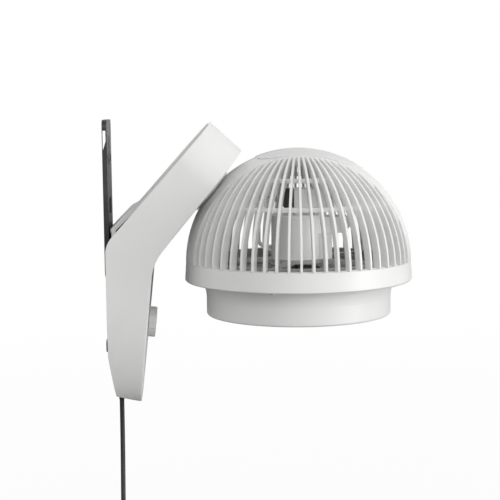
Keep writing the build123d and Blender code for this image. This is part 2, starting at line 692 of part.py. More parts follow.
with BuildPart() as neck_disc:
    extrude_ring(NECK, HUB_START - 4.0, 4.0, DISC_R)
    with Locations(HEAD_CENTRE):
        Sphere(DISC_INNER_R, mode=Mode.SUBTRACT)
    with BuildSketch(NECK.offset(STEM_START)):
        RectangleRounded(STEM_LENGTH, STEM_W, 2.0)
    extrude(amount=HUB_START - STEM_START)
    extrude_ring(NECK, HUB_START, HUB_END - HUB_START, HUB_R)
    extrude_ring(NECK, STEM_START - 1, BOLT_END + 1.5 - STEM_START, TILT_BOLT_R + SEAT_GAP, mode=Mode.SUBTRACT)
    extrude_ring(NECK, SHAFT_SOCKET, HUB_END, OSC_SHAFT_R + SEAT_GAP, mode=Mode.SUBTRACT)
finish(neck_disc, "neck_disc")

with BuildPart() as slide_shoe:
    with Locations(HEAD_CENTRE):
        Sphere(DOME_R - BELT_T - SLIDE_GAP)
    with BuildSketch(NECK.offset(SHOE_INNER)):
        RectangleRounded(SHOE_LENGTH, SHOE_W, 5.0)
    extrude(amount=DOME_R - SHOE_INNER, mode=Mode.INTERSECT)
    with BuildSketch(NECK.offset(STEM_START)):
        RectangleRounded(STEM_LENGTH + DROP_IN_GAP, STEM_W + DROP_IN_GAP, 2.0)
    extrude(amount=10.0, mode=Mode.SUBTRACT)
    extrude_ring(NECK, SHOE_INNER - 1, 12.0, TILT_BOLT_R + 0.2, mode=Mode.SUBTRACT)
finish(slide_shoe, "slide_shoe")

with BuildPart() as spring_washer:
    extrude_ring(NECK, SHOE_INNER - SPRING_T, SPRING_T, 8.0, TILT_BOLT_R + 0.2)
finish(spring_washer, "spring_washer")

with BuildPart() as tilt_bolt:
    bolt_seat = SHOE_INNER - SPRING_T
    extrude_ring(NECK, bolt_seat, BOLT_END - bolt_seat, TILT_BOLT_R)
    with BuildSketch(NECK.offset(bolt_seat - 4.0)):
        RegularPolygon(5.6, 6)
    extrude(amount=4.0)
finish(tilt_bolt, "tilt_bolt")

with BuildPart() as pan_bush:
    extrude_ring(NECK, NECK_REACH + 0.4, BUSH_END - NECK_REACH - 0.4, BUSH_R, HUB_R + RUNNING_GAP)
    extrude_ring(NECK, NECK_REACH + BODY_WALL, BUSH_FLANGE_T, BUSH_FLANGE_R, HUB_R + RUNNING_GAP)
finish(pan_bush, "pan_bush")

with BuildPart() as pan_clip:
    extrude_ring(NECK, BUSH_END + DROP_IN_GAP, CLIP_T, CLIP_R, HUB_R + SEAT_GAP)
finish(pan_clip, "pan_clip")

OSC_BOSS_R = 8.0
OSC_BOSS_T = 3.0
OSC_EAR_T = 1.5
OSC_SHAFT_END = OSC_MOTOR_START + 4.0
with BuildPart() as osc_motor:
    extrude_ring(NECK, OSC_MOTOR_START, OSC_MOTOR_T, OSC_MOTOR_R)
    extrude_ring(NECK, OSC_MOTOR_START - OSC_BOSS_T, OSC_BOSS_T, OSC_BOSS_R)
    with BuildSketch(NECK.offset(OSC_MOTOR_START)):
        SlotCenterToCenter(2 * OSC_EAR_Y, 11.0, rotation=90)
    extrude(amount=OSC_EAR_T)
    with BuildSketch(NECK.offset(OSC_MOTOR_START)):
        with GridLocations(1, 2 * OSC_EAR_Y, 1, 2):
            Circle(SCREW_R + 0.2)
    extrude(amount=OSC_EAR_T, mode=Mode.SUBTRACT)
    extrude_ring(
        NECK, OSC_MOTOR_START - OSC_BOSS_T, OSC_BOSS_T + 5.0, OSC_SHAFT_R + RUNNING_GAP, mode=Mode.SUBTRACT
    )
finish(osc_motor, "swing_motor")

with BuildPart() as osc_shaft:
    extrude_ring(NECK, SHAFT_SOCKET + 0.2, OSC_SHAFT_END - SHAFT_SOCKET - 0.2, OSC_SHAFT_R)
finish(osc_shaft, "swing_shaft")

with BuildPart() as osc_screws:
    for ear_y in (-OSC_EAR_Y, OSC_EAR_Y):
        spot = NECK.shift_origin(NECK.from_local_coords(Vector(0, ear_y, 0)))
        extrude_ring(spot, OSC_MOTOR_START + OSC_EAR_T, SCREW_HEAD_T, SCREW_HEAD_R)
        extrude_ring(spot, OSC_MOTOR_START + OSC_EAR_T - 9.0, 9.0, SCREW_R)
finish(osc_screws, "swing_motor_screws")

# ---------------------------------------------------------------- rear grille
REST_ANGLE = -NECK_ANGLE
SLOT_LOW_ANGLE = REST_ANGLE - STEM_ANGLE / 2 - SLOT_END_GAP
SLOT_HIGH_ANGLE = REST_ANGLE + TILT_TRAVEL + STEM_ANGLE / 2 + SLOT_END_GAP
SLOT_W = STEM_W + 2 * SLOT_SIDE_GAP
SLAT_INNER_R = DOME_R - SLAT_DEPTH
RIM_R = DOME_R - RING_WALL - SLIDE_GAP - 0.2
RIM_BOTTOM = -6.0
GUARD_BOSS_R = 3.6
GUARD_SCREW_R = RIM_R - GUARD_BOSS_R
GUARD_SCREWS = 5
BELT_RIB_T = 2.0
CLIP_LOW_ANGLE, CLIP_HIGH_ANGLE = 29.0, 36.0
CLIP_W = 24.0
CLIP_DEPTH = 1.6


def ball_sector(low_angle, high_angle, inner, outer, half_width, mode):
    """A slice of a flat ring in the side view, between two angles, made solid across."""
    with BuildSketch(HEAD_SIDE) as slice_:
        with BuildLine():
            inner_arc = CenterArc((0, 0), inner, 90 - high_angle, high_angle - low_angle)
            outer_arc = CenterArc((0, 0), outer, 90 - high_angle, high_angle - low_angle)
            Line(inner_arc @ 0, outer_arc @ 0)
            Line(inner_arc @ 1, outer_arc @ 1)
        make_face()
    extrude(slice_.sketch, amount=half_width, both=True, mode=mode)


def belt_strip(inner, outer, low_y, high_y, low_angle=-90.0, high_angle=90.0):
    """A strip of the ball's skin, swept over the top from one side to the other."""
    start = direction(high_angle)
    plane = Plane(origin=HEAD_CENTRE, x_dir=(start[0], 0, start[1]), z_dir=(start[1], 0, -start[0]))
    middle = (low_y + high_y) / 2
    with BuildSketch(plane) as strip:
        Circle(outer)
        Circle(inner, mode=Mode.SUBTRACT)
        with Locations((outer / 2, -middle)):
            Rectangle(outer, high_y - low_y, mode=Mode.INTERSECT)
    revolve(
        strip.sketch,
        axis=Axis(HEAD_CENTRE, (0, -1, 0)),
        revolution_arc=high_angle - low_angle,
    )


SLAT_OUTER_R = DOME_R - 0.15
SLAT_SPREAD = math.degrees(math.acos((BELT_HALF + SLAT_TO_BELT) / DOME_R))
SLATS_EACH_SIDE = 2 * int(SLAT_SPREAD / SLAT_PITCH + 0.5)
SLAT_ANGLES = [
    side + (index - (SLATS_EACH_SIDE - 1) / 2) * SLAT_PITCH
    for side in (-90.0, 90.0)
    for index in range(SLATS_EACH_SIDE)
]

with BuildPart() as rear_grille:
    for angle in SLAT_ANGLES:
        turn = math.radians(angle)
        slat_plane = Plane(
            origin=HEAD_CENTRE,
            x_dir=(math.cos(turn), math.sin(turn), 0),
            z_dir=(math.sin(turn), -math.cos(turn), 0),
        )
        top = math.degrees(math.acos((BELT_HALF - BELT_RIB_T / 2) / DOME_R / abs(math.sin(turn)))) + 3.0
        with BuildSketch(slat_plane):
            with BuildLine():
                slat_out = CenterArc((0, 0), SLAT_OUTER_R, 0, top)
                slat_in = CenterArc((0, 0), SLAT_INNER_R, 0, top)
                Line(slat_in @ 0, slat_out @ 0)
                Line(slat_in @ 1, slat_out @ 1)
            make_face()
    extrude(amount=SLAT_T / 2, both=True)
    for level in HOOP_LEVELS:
        hoop_r = math.sqrt(SLAT_INNER_R**2 - level**2) + 1.0
        extrude_ring(
            HEAD, level - HOOP_T / 2, HOOP_T, hoop_r + HOOP_DEPTH / 2, hoop_r - HOOP_DEPTH / 2
        )
    with Locations(HEAD_CENTRE):
        Box(3 * DOME_R, 2 * BELT_HALF - BELT_RIB_T, 3 * DOME_R, mode=Mode.SUBTRACT)
    belt_strip(DOME_R - BELT_T, DOME_R, -BELT_HALF, BELT_HALF)
    belt_strip(SLAT_INNER_R - 0.5, DOME_R, -BELT_HALF, -BELT_HALF + BELT_RIB_T)
    belt_strip(SLAT_INNER_R - 0.5, DOME_R, BELT_HALF - BELT_RIB_T, BELT_HALF)
    extrude_ring(HEAD, -1.0, 1.0 + RING_TOP, DOME_R + 5, mode=Mode.SUBTRACT)
    extrude_ring(HEAD, RIM_BOTTOM, RING_TOP + 0.6 - RIM_BOTTOM, RIM_R, SLAT_INNER_R + 0.8)
    with BuildSketch(HEAD.offset(RING_BOTTOM + WEB_T)):
        with PolarLocations(GUARD_SCREW_R, GUARD_SCREWS, start_angle=36):
            Circle(GUARD_BOSS_R)
    extrude(amount=RING_TOP + 1.2 - RING_BOTTOM - WEB_T)
    with BuildSketch(HEAD.offset(RING_BOTTOM + WEB_T)):
        with PolarLocations(GUARD_SCREW_R, GUARD_SCREWS, start_angle=36):
            Circle(SCREW_R + SEAT_GAP)
    extrude(amount=10.0, mode=Mode.SUBTRACT)
    ball_sector(SLOT_LOW_ANGLE, SLOT_HIGH_ANGLE, DOME_R - 12, DOME_R + 5, SLOT_W / 2, Mode.SUBTRACT)
    ball_sector(CLIP_LOW_ANGLE, CLIP_HIGH_ANGLE, DOME_R - CLIP_DEPTH, DOME_R + 5, CLIP_W / 2, Mode.SUBTRACT)
finish(rear_grille, "rear_grille")

CAP_LOW_ANGLE, CAP_HIGH_ANGLE = -21.5, 30.0
CAP_HALF = 36.5
CAP_CORNER = 26.0
with BuildPart() as belt_cap:
    belt_strip(
        DOME_R + SEAT_GAP, DOME_R + COVER_CAP_T, -CAP_HALF, CAP_HALF, CAP_LOW_ANGLE, CAP_HIGH_ANGLE
    )
    cap_start, cap_end = on_ball(CAP_LOW_ANGLE, DOME_R)[0], on_ball(CAP_HIGH_ANGLE, DOME_R)[0]
    with BuildSketch(Plane.XY.offset(HEAD_Z)):
        with Locations(((cap_start + cap_end) / 2, 0)):
            RectangleRounded(cap_end - cap_start + 1.0, 2 * CAP_HALF, CAP_CORNER)
    extrude(amount=2 * DOME_R, mode=Mode.INTERSECT)
    tongue_half = CLIP_W / 2 - 2.0
    ball_sector(
        CLIP_LOW_ANGLE + 0.2, CLIP_HIGH_ANGLE - 1.5, DOME_R - CLIP_DEPTH + 0.1, DOME_R + 0.4,
        tongue_half, Mode.ADD,
    )
    ball_sector(
        CAP_LOW_ANGLE - 2, SLOT_HIGH_ANGLE, DOME_R - 5, DOME_R + 5, SLOT_W / 2, Mode.SUBTRACT
    )
finish(belt_cap, "belt_cap")

# ---------------------------------------------------------------- ring, barrel, front grille
SPIDER_SCREW_R = BARREL_TOP_R + 3.0
SPIDER_FLANGE_R = SPIDER_SCREW_R + 2.8
BARREL_FLANGE_T = 2.4
FLANGE_LEVEL = RING_BOTTOM + WEB_T
SPIDER_LEVEL = FLANGE_LEVEL + BARREL_FLANGE_T
SPIDER_FLANGE_T = 2.8
BARREL_BORE_R = BARREL_R - BARREL_WALL


def ring_holes(start, length, radius_of_circle, count, hole_r, turn=0.0):
    """A ring of holes through a slice of the head."""
    with BuildSketch(HEAD.offset(start)) as holes:
        with PolarLocations(radius_of_circle, count, start_angle=turn):
            Circle(hole_r)
    extrude(holes.sketch, amount=length, mode=Mode.SUBTRACT)


with BuildPart() as ring_frame:
    with BuildSketch(HEAD_SIDE):
        with BuildLine():
            Polyline(
                (DOME_R - 0.2, RING_TOP),
                (RING_R, RING_BOTTOM + 1.2),
                (RING_R - 1.0, RING_BOTTOM),
                (BARREL_TOP_R + SLIDE_GAP, RING_BOTTOM),
                (BARREL_TOP_R + SLIDE_GAP, FLANGE_LEVEL),
                (DOME_R - 0.2 - RING_WALL, FLANGE_LEVEL),
                (DOME_R - 0.2 - RING_WALL, RING_TOP),
                close=True,
            )
        make_face()
    revolve(axis=Axis(HEAD_CENTRE, (0, 0, 1)))
    ring_holes(RING_BOTTOM, WEB_T, SPIDER_SCREW_R, SPIDER_ARMS, SCREW_R + SEAT_GAP, 180)
    ring_holes(RING_BOTTOM, WEB_T, GUARD_SCREW_R, GUARD_SCREWS, SCREW_R + 0.2, 36)
finish(ring_frame, "ring_frame")

BARREL_FLARE_END = -36.0
BARREL_BEND_R = 2.2
with BuildPart() as barrel:
    with BuildSketch(HEAD_SIDE) as barrel_section:
        with BuildLine():
            flare = ThreePointArc(
                (BARREL_TOP_R, RING_BOTTOM - 1.0),
                (BARREL_R + 1.4, (RING_BOTTOM - 1.0 + BARREL_FLARE_END) / 2),
                (BARREL_R + 0.1, BARREL_FLARE_END),
            )
            Polyline(
                flare @ 1,
                (BARREL_R, BARREL_BOTTOM),
                (BARREL_BORE_R - BARREL_LIP, BARREL_BOTTOM),
                (BARREL_BORE_R - BARREL_LIP, BARREL_BOTTOM + 2.2),
                (BARREL_BORE_R, BARREL_BOTTOM + 2.2),
                (BARREL_BORE_R, SPIDER_LEVEL),
                (SPIDER_FLANGE_R, SPIDER_LEVEL),
                (SPIDER_FLANGE_R, FLANGE_LEVEL),
                (BARREL_TOP_R, FLANGE_LEVEL),
                flare @ 0,
            )
        make_face()
        corners = barrel_section.vertices().sort_by_distance((BARREL_R, BARREL_BOTTOM, 0))
        fillet(corners[0], BARREL_BEND_R)
    revolve(axis=Axis(HEAD_CENTRE, (0, 0, 1)))
    ring_holes(FLANGE_LEVEL, BARREL_FLANGE_T, SPIDER_SCREW_R, SPIDER_ARMS, SCREW_R + 0.2, 180)
finish(barrel, "barrel")

GRILLE_SEAT = BARREL_BOTTOM + 2.2
GRILLE_T = 3.0
GRILLE_BAR_T = 1.8
GRILLE_RINGS = (0.36 * BARREL_R, 0.52 * BARREL_R, 0.74 * BARREL_R)
GRILLE_HUB_R = 20.0
GRILLE_RIM = 3.6
with BuildPart() as front_grille:
    rim_r = BARREL_BORE_R - DROP_IN_GAP
    with BuildSketch(HEAD.offset(GRILLE_SEAT)):
        Circle(rim_r)
        Circle(rim_r - GRILLE_RIM, mode=Mode.SUBTRACT)
        Circle(GRILLE_HUB_R)
        for ring_r in GRILLE_RINGS:
            with BuildSketch(mode=Mode.ADD):
                Circle(ring_r + GRILLE_BAR_T / 2)
                Circle(ring_r - GRILLE_BAR_T / 2, mode=Mode.SUBTRACT)
        inner_bar = GRILLE_RINGS[1] - GRILLE_HUB_R
        with PolarLocations(GRILLE_HUB_R + inner_bar / 2, 30):
            Rectangle(inner_bar + 1, GRILLE_BAR_T)
        outer_bar = rim_r - GRILLE_RIM - GRILLE_RINGS[1]
        with PolarLocations(GRILLE_RINGS[1] + outer_bar / 2, 60):
            Rectangle(outer_bar + 1, GRILLE_BAR_T)
    extrude(amount=GRILLE_T)
finish(front_grille, "front_grille")

with BuildPart() as guard_screws:
    for index in range(GUARD_SCREWS):
        turn = math.radians(36 + index * 360 / GUARD_SCREWS)
        spot = Plane(
            origin=(
                HEAD_X + GUARD_SCREW_R * math.cos(turn),
                GUARD_SCREW_R * math.sin(turn),
                HEAD_Z + RING_BOTTOM,
            )
        )
        extrude_ring(spot, -SCREW_HEAD_T, SCREW_HEAD_T, SCREW_HEAD_R)
        extrude_ring(spot, 0, 10.0, SCREW_R)
finish(guard_screws, "guard_screws")

# ---------------------------------------------------------------- motor spider and motor
SPIDER_ARM_W = 9.0
SPIDER_PLATE_R = 31.0
SPIDER_COLLAR = 4.0
with BuildPart() as motor_spider:
    extrude_ring(HEAD, SPIDER_LEVEL, SPIDER_FLANGE_T, SPIDER_FLANGE_R, SPIDER_FLANGE_R - 9.0)
    extrude_ring(
        HEAD, SPIDER_LEVEL, MOTOR_BASE - SPIDER_LEVEL, SPIDER_FLANGE_R - 9.0 + SPIDER_COLLAR / 2,
        SPIDER_FLANGE_R - 9.0 - SPIDER_COLLAR / 2,
    )
    extrude_ring(HEAD, 0, MOTOR_BASE, SPIDER_PLATE_R)
    with BuildSketch(HEAD):
        arm_length = SPIDER_FLANGE_R - 9.0
        with PolarLocations(arm_length / 2, SPIDER_ARMS, start_angle=180):
            Rectangle(arm_length, SPIDER_ARM_W)
    extrude(amount=MOTOR_BASE)
    extrude_ring(HEAD, -1, 10, BEARING_R + SEAT_GAP, mode=Mode.SUBTRACT)
    ring_holes(SPIDER_LEVEL, SPIDER_FLANGE_T, SPIDER_SCREW_R, SPIDER_ARMS, SCREW_R + 0.2, 180)
finish(motor_spider, "motor_spider")

with BuildPart() as spider_screws:
    for index in range(SPIDER_ARMS):
        turn = math.radians(180 + index * 360 / SPIDER_ARMS)
        spot = Plane(
            origin=(
                HEAD_X + SPIDER_SCREW_R * math.cos(turn),
                SPIDER_SCREW_R * math.sin(turn),
                HEAD_Z + SPIDER_LEVEL + SPIDER_FLANGE_T,
            )
        )
        extrude_ring(spot, 0, SCREW_HEAD_T, SCREW_HEAD_R)
        extrude_ring(spot, -7.5, 7.5, SCREW_R)
finish(spider_screws, "spider_screws")

UPPER_BEARING_LEVEL = MOTOR_TOP - 8.0
BEARING_T = 6.0
with BuildPart() as motor_housing:
    extrude_ring(HEAD, MOTOR_BASE, MOTOR_TOP - MOTOR_BASE, MOTOR_R)
    fillet(motor_housing.edges().group_by(Axis.Z)[-1], 2.5)
    extrude_ring(
        HEAD, MOTOR_BASE, MOTOR_TOP - MOTOR_WALL - MOTOR_BASE, MOTOR_R - MOTOR_WALL, mode=Mode.SUBTRACT
    )
    extrude_ring(HEAD, UPPER_BEARING_LEVEL, MOTOR_TOP - UPPER_BEARING_LEVEL - 1, BEARING_R + 2.0)
    extrude_ring(
        HEAD, UPPER_BEARING_LEVEL - 1, BEARING_T + 1, BEARING_R + SEAT_GAP, mode=Mode.SUBTRACT
    )
finish(motor_housing, "motor_housing")

for name, level in (("lower_bearing", -1.0), ("upper_bearing", UPPER_BEARING_LEVEL)):
    with BuildPart() as bearing:
        extrude_ring(HEAD, level, BEARING_T - 0.1, BEARING_R, SHAFT_R + RUNNING_GAP)
    finish(bearing, name)

STATOR_R = MOTOR_R - MOTOR_WALL - SEAT_GAP
STATOR_BORE = 17.2
STATOR_LOW, STATOR_T = 12.0, 24.0
TEETH = 6
with BuildPart() as stator_core:
    with BuildSketch(HEAD.offset(STATOR_LOW)):
        Circle(STATOR_R)
        Circle(STATOR_R - 3.6, mode=Mode.SUBTRACT)
        with PolarLocations((STATOR_BORE + STATOR_R - 2) / 2, TEETH):
            Rectangle(STATOR_R - 2 - STATOR_BORE, 5.0)
    extrude(amount=STATOR_T)
finish(stator_core, "stator_core")

with BuildPart() as stator_coils:
    coil_r = (STATOR_BORE + STATOR_R - 3.6) / 2
    with BuildSketch(HEAD.offset(STATOR_LOW - 2.0)):
        with PolarLocations(coil_r, TEETH):
            RectangleRounded(4.4, 11.0, 0.8)
    extrude(amount=STATOR_T + 4.0)
    with BuildSketch(HEAD.offset(STATOR_LOW - 0.1)):
        with PolarLocations(coil_r, TEETH):
            Rectangle(9.0, 5.2)
    extrude(amount=STATOR_T + 0.2, mode=Mode.SUBTRACT)
finish(stator_coils, "stator_coils")

BOX_LOW, BOX_HIGH = 31.0, 48.0
BOX_REACH = 55.0
SKIRT_REACH, SKIRT_W = 34.5, 40.0   # the capacitor's case under it, down to the spider
with BuildPart() as junction_box:
    outline = [
        (MOTOR_R - 8, BOX_LOW), (BOX_REACH - 7, BOX_LOW), (BOX_REACH, BOX_LOW + 7),
        (BOX_REACH, BOX_HIGH - 5), (BOX_REACH - 3, BOX_HIGH), (MOTOR_R - 8, BOX_HIGH),
    ]
    extrude_side([(HEAD_X + x, HEAD_Z + z) for x, z in outline], 14.0)
    with BuildSketch(HEAD.offset(MOTOR_BASE)):
        with Locations((SKIRT_REACH / 2, 0)):
            Rectangle(SKIRT_REACH, SKIRT_W)
    extrude(amount=BOX_LOW - MOTOR_BASE)
    extrude_ring(HEAD, 0, 90, MOTOR_R + SEAT_GAP, mode=Mode.SUBTRACT)
finish(junction_box, "junction_box")

DRIVER_LOW, DRIVER_HIGH = 58.0, 78.0
DRIVER_START, DRIVER_END = -5.0, 34.0
with BuildPart() as driver_box:
    outline = [
        (DRIVER_START, DRIVER_LOW), (DRIVER_END, DRIVER_LOW), (DRIVER_END, DRIVER_HIGH - 3),
        (DRIVER_END - 3, DRIVER_HIGH), (DRIVER_START, DRIVER_HIGH),
    ]
    extrude_side([(HEAD_X + x, HEAD_Z + z) for x, z in outline], 15.0)
    with BuildSketch(HEAD.offset(MOTOR_TOP)):
        with Locations((-1.0, 0), (20.0, 0)):
            Rectangle(6.0, 22.0)
    extrude(amount=DRIVER_LOW - MOTOR_TOP)
finish(driver_box, "driver_box")

CONNECTOR_W = 10.4
CONNECTOR_START = DRIVER_START - CONNECTOR_W
LEAD_D = 4.0
LEAD_X = -42.0
with BuildPart() as wire_connector:
    with BuildSketch(HEAD.offset(DRIVER_LOW)):
        with Locations((CONNECTOR_START + CONNECTOR_W / 2, 0)):
            Rectangle(CONNECTOR_W, 20.0)
    extrude(amount=DRIVER_HIGH - DRIVER_LOW)
finish(wire_connector, "wire_connector")

with BuildPart() as motor_lead:
    with BuildLine() as lead_route:
        FilletPolyline(
            (HEAD_X + CONNECTOR_START, 0, HEAD_Z + 66.0),
            (HEAD_X + LEAD_X, 0, HEAD_Z + 66.0),
            (HEAD_X + LEAD_X, 0, HEAD_Z + 16.0),
            (HEAD_X - MOTOR_R, 0, HEAD_Z + 16.0),
            radius=(14.0, 8.0),
        )
    with BuildSketch(Plane(origin=lead_route.line @ 0, z_dir=lead_route.line % 0)):
        Circle(LEAD_D / 2)
    sweep()
finish(motor_lead, "motor_lead")

# ---------------------------------------------------------------- rotor
SHAFT_LOW, SHAFT_TOP = -44.0, UPPER_BEARING_LEVEL + 5.4
ROTOR_CORE_R = STATOR_BORE - 0.5
with BuildPart() as motor_shaft:
    extrude_ring(HEAD, SHAFT_LOW, SHAFT_TOP - SHAFT_LOW, SHAFT_R)
finish(motor_shaft, "motor_shaft")

with BuildPart() as rotor_core:
    extrude_ring(HEAD, STATOR_LOW, STATOR_T, ROTOR_CORE_R, SHAFT_R + SEAT_GAP)
finish(rotor_core, "rotor_core")

BLADE_T = 2.4
BLADE_MIDDLE = -23.0
BLADE_WAIST_R = 0.62 * BLADE_TIP_R
BLADE_SECTIONS = (   # radius, chord and pitch in degrees
    (HUB_CUP_R - 1.5, 38.0, 38.0),
    (BLADE_WAIST_R, 60.0, 29.0),
    (BLADE_TIP_R - 2.0, 78.0, 22.0),
)
with BuildPart() as fan_blades:
    for index in range(BLADES):
        turn = math.radians(index * 360 / BLADES + 18)
        for radius, chord, pitch in BLADE_SECTIONS:
            section_plane = Plane(
                origin=(
                    HEAD_X + radius * math.cos(turn),
                    radius * math.sin(turn),
                    HEAD_Z + BLADE_MIDDLE,
                ),
                x_dir=(-math.sin(turn), math.cos(turn), 0),
                z_dir=(math.cos(turn), math.sin(turn), 0),
            )
            with BuildSketch(section_plane):
                SlotOverall(chord, BLADE_T, rotation=pitch)
        loft()
    extrude_ring(HEAD, -60, 60, 2 * DOME_R, BLADE_TIP_R, mode=Mode.SUBTRACT)
    extrude_ring(HEAD, HUB_CUP_BOTTOM - 8, 60, HUB_CUP_R - 2.0, mode=Mode.SUBTRACT)
    extrude_ring(HEAD, HUB_CUP_BOTTOM, HUB_CUP_TOP - HUB_CUP_BOTTOM, HUB_CUP_R, HUB_CUP_R - 2.0)
    extrude_ring(HEAD, HUB_CUP_BOTTOM, 3.0, HUB_CUP_R)
    extrude_ring(HEAD, HUB_CUP_BOTTOM, 26.0, BEARING_R)
    with BuildSketch(HEAD.offset(HUB_CUP_BOTTOM)):
        with PolarLocations(HUB_CUP_R / 2, 6):
            Rectangle(HUB_CUP_R - 1.0, 1.6)
    extrude(amount=18.0)
    extrude_ring(HEAD, -60, 60, SHAFT_R + SEAT_GAP, mode=Mode.SUBTRACT)
finish(fan_blades, "fan_blades")

NUT_T = 6.5
with BuildPart() as blade_nut:
    extrude_ring(HEAD, HUB_CUP_BOTTOM - NUT_T, NUT_T, 9.5)
    fillet(blade_nut.edges().group_by(Axis.Z)[0], 2.0)
    extrude_ring(HEAD, HUB_CUP_BOTTOM - 6.2, 6.2, SHAFT_R + SEAT_GAP, mode=Mode.SUBTRACT)
finish(blade_nut, "blade_nut")

# ---------------------------------------------------------------- mains entry
with BuildPart() as cord_gland:
    with BuildSketch(Plane(origin=(CORD_X, 0, 0), x_dir=(1, 0, 0), z_dir=(0, -1, 0))):
        with BuildLine():
            Polyline(
                (0, GLAND_TOP), (GLAND_R, GLAND_TOP), (GLAND_R, GLAND_FLANGE_Z + 4),
                (GLAND_FLANGE_R, GLAND_FLANGE_Z + 2), (GLAND_FLANGE_R, GLAND_FLANGE_Z),
                (3.6, GLAND_FLANGE_Z), (2.9, CORD_EXIT_Z), (0, CORD_EXIT_Z),
                close=True,
            )
        make_face()
    revolve(axis=Axis((CORD_X, 0, 0), (0, 0, 1)))
finish(cord_gland, "cord_gland")

BLOCK_W, BLOCK_H, BLOCK_D = 30.0, 20.0, 16.0
BLOCK_LOW = GLAND_TOP + 3.0
BLOCK_X = back_x_at(BLOCK_LOW) + COVER_T + 0.1
with BuildPart() as terminal_block:
    with BuildSketch(Plane.YZ.offset(BLOCK_X)):
        with Locations((0, BLOCK_LOW + BLOCK_H / 2)):
            RectangleRounded(BLOCK_W, BLOCK_H, 1.0)
    extrude(amount=BLOCK_D)
    with BuildSketch(Plane.YZ.offset(BLOCK_X + BLOCK_D)):
        with Locations((0, BLOCK_LOW + BLOCK_H / 2)):
            with GridLocations(9.0, 11.0, 3, 2):
                Circle(2.6)
    extrude(amount=-3.0, mode=Mode.SUBTRACT)
finish(terminal_block, "terminal_block")


# ---------------------------------------------------------------- cord, coil, tie and plug
def corner_radii(points):
    """The largest arc for each corner that leaves its two runs some straight length."""
    radii = []
    for before, corner, after in zip(points, points[1:], points[2:]):
        first, second = Vector(corner) - Vector(before), Vector(after) - Vector(corner)
        half_turn = math.radians(first.get_angle(second) / 2)
        radii.append(0.45 * min(first.length, second.length) / math.tan(half_turn))
    return radii


radii = corner_radii(CORD_POINTS)
print("cord radii", [round(radius, 1) for radius in radii])
with BuildPart() as power_cord:
    with BuildLine() as cord_route:
        FilletPolyline(*CORD_POINTS, radius=radii)
    with BuildSketch(Plane(origin=cord_route.line @ 0, z_dir=cord_route.line % 0)):
        Circle(CORD_D / 2)
    sweep()
finish(power_cord, "power_cord")
free_length = cord_route.wire().length
expected = math.pi * CORD_D**2 / 4 * free_length
print("cord free length", round(free_length, 1), "volume ratio", round(power_cord.part.volume / expected, 4))

COIL_START = Vector(*CORD_POINTS[-1])
COIL_IN_R = COIL_MID_R - COIL_TURNS_PER_LAYER * COIL_PITCH / 2
COIL_OUT_R = COIL_MID_R + COIL_TURNS_PER_LAYER * COIL_PITCH / 2
COIL_CENTRE = COIL_START + Vector(0, COIL_OUT_R, 0)
COIL_TURNS = COIL_TURNS_PER_LAYER * COIL_LAYERS


def coil_point(turns):
    """Middle of the wound cord: it spirals in and out and climbs a layer at each reversal."""
    layer_turns = COIL_TURNS_PER_LAYER
    phase = turns % (2 * layer_turns)
    radius = COIL_OUT_R - COIL_PITCH * min(phase, 2 * layer_turns - phase)
    layer = 0.0
    for reversal in range(1, COIL_LAYERS):
        progress = (turns - reversal * layer_turns + 0.25) / 0.5
        progress = min(max(progress, 0.0), 1.0)
        layer += progress * progress * (3 - 2 * progress)
    angle = 2 * math.pi * turns
    return COIL_CENTRE + Vector(
        layer * COIL_PITCH, -radius * math.cos(angle), -radius * math.sin(angle)
    )


def coil_tangent(turns):
    small = 0.02
    low, high = max(turns - small, 0.0), min(turns + small, COIL_TURNS)
    if low == 0.0 or high == COIL_TURNS:
        return Vector(0, 0, -1)
    return (coil_point(high) - coil_point(low)).normalized()


def biarc_joint(start, start_way, end, end_way):
    """Where two arcs meet that leave one point and reach another along given ways."""
    chord = end - start
    ways = start_way + end_way
    a = 2 * (1 - start_way.dot(end_way))
    b = 2 * chord.dot(ways)
    c = -chord.dot(chord)
    reach = (-b + math.sqrt(b * b - 4 * a * c)) / (2 * a) if a > 1e-9 else -c / b
    return (start + start_way * reach + end - end_way * reach) / 2


COIL_STEPS_PER_TURN = 4
coil_steps = COIL_TURNS * COIL_STEPS_PER_TURN
with BuildPart() as cord_coil:
    with BuildLine() as coil_route:
        for index in range(coil_steps):
            low, high = index / COIL_STEPS_PER_TURN, (index + 1) / COIL_STEPS_PER_TURN
            start, end = coil_point(low), coil_point(high)
            joint = biarc_joint(start, coil_tangent(low), end, coil_tangent(high))
            first_arc = TangentArc(start, joint, tangent=coil_tangent(low))
            TangentArc(joint, end, tangent=first_arc % 1)
        Line(coil_point(COIL_TURNS), coil_point(COIL_TURNS) + Vector(0, 0, -TAIL))
    with BuildSketch(Plane(origin=coil_route.line @ 0, z_dir=coil_route.line % 0)):
        Circle(CORD_D / 2)
    sweep()
finish(cord_coil, "cord_coil")
coil_length = coil_route.wire().length
least_gap = 1000.0
samples = [coil_point(index / 60) for index in range(60 * COIL_TURNS + 1)]
for index, point in enumerate(samples):
    for other in samples[index + 40:]:
        least_gap = min(least_gap, (point - other).length - CORD_D)
print("coil length", round(coil_length, 1), "least gap between turns", round(least_gap, 2))
print("cord length in all", round(free_length + coil_length, 1))
ratio = cord_coil.part.volume / (math.pi * CORD_D**2 / 4 * coil_length)
print("coil volume ratio", round(ratio, 4))

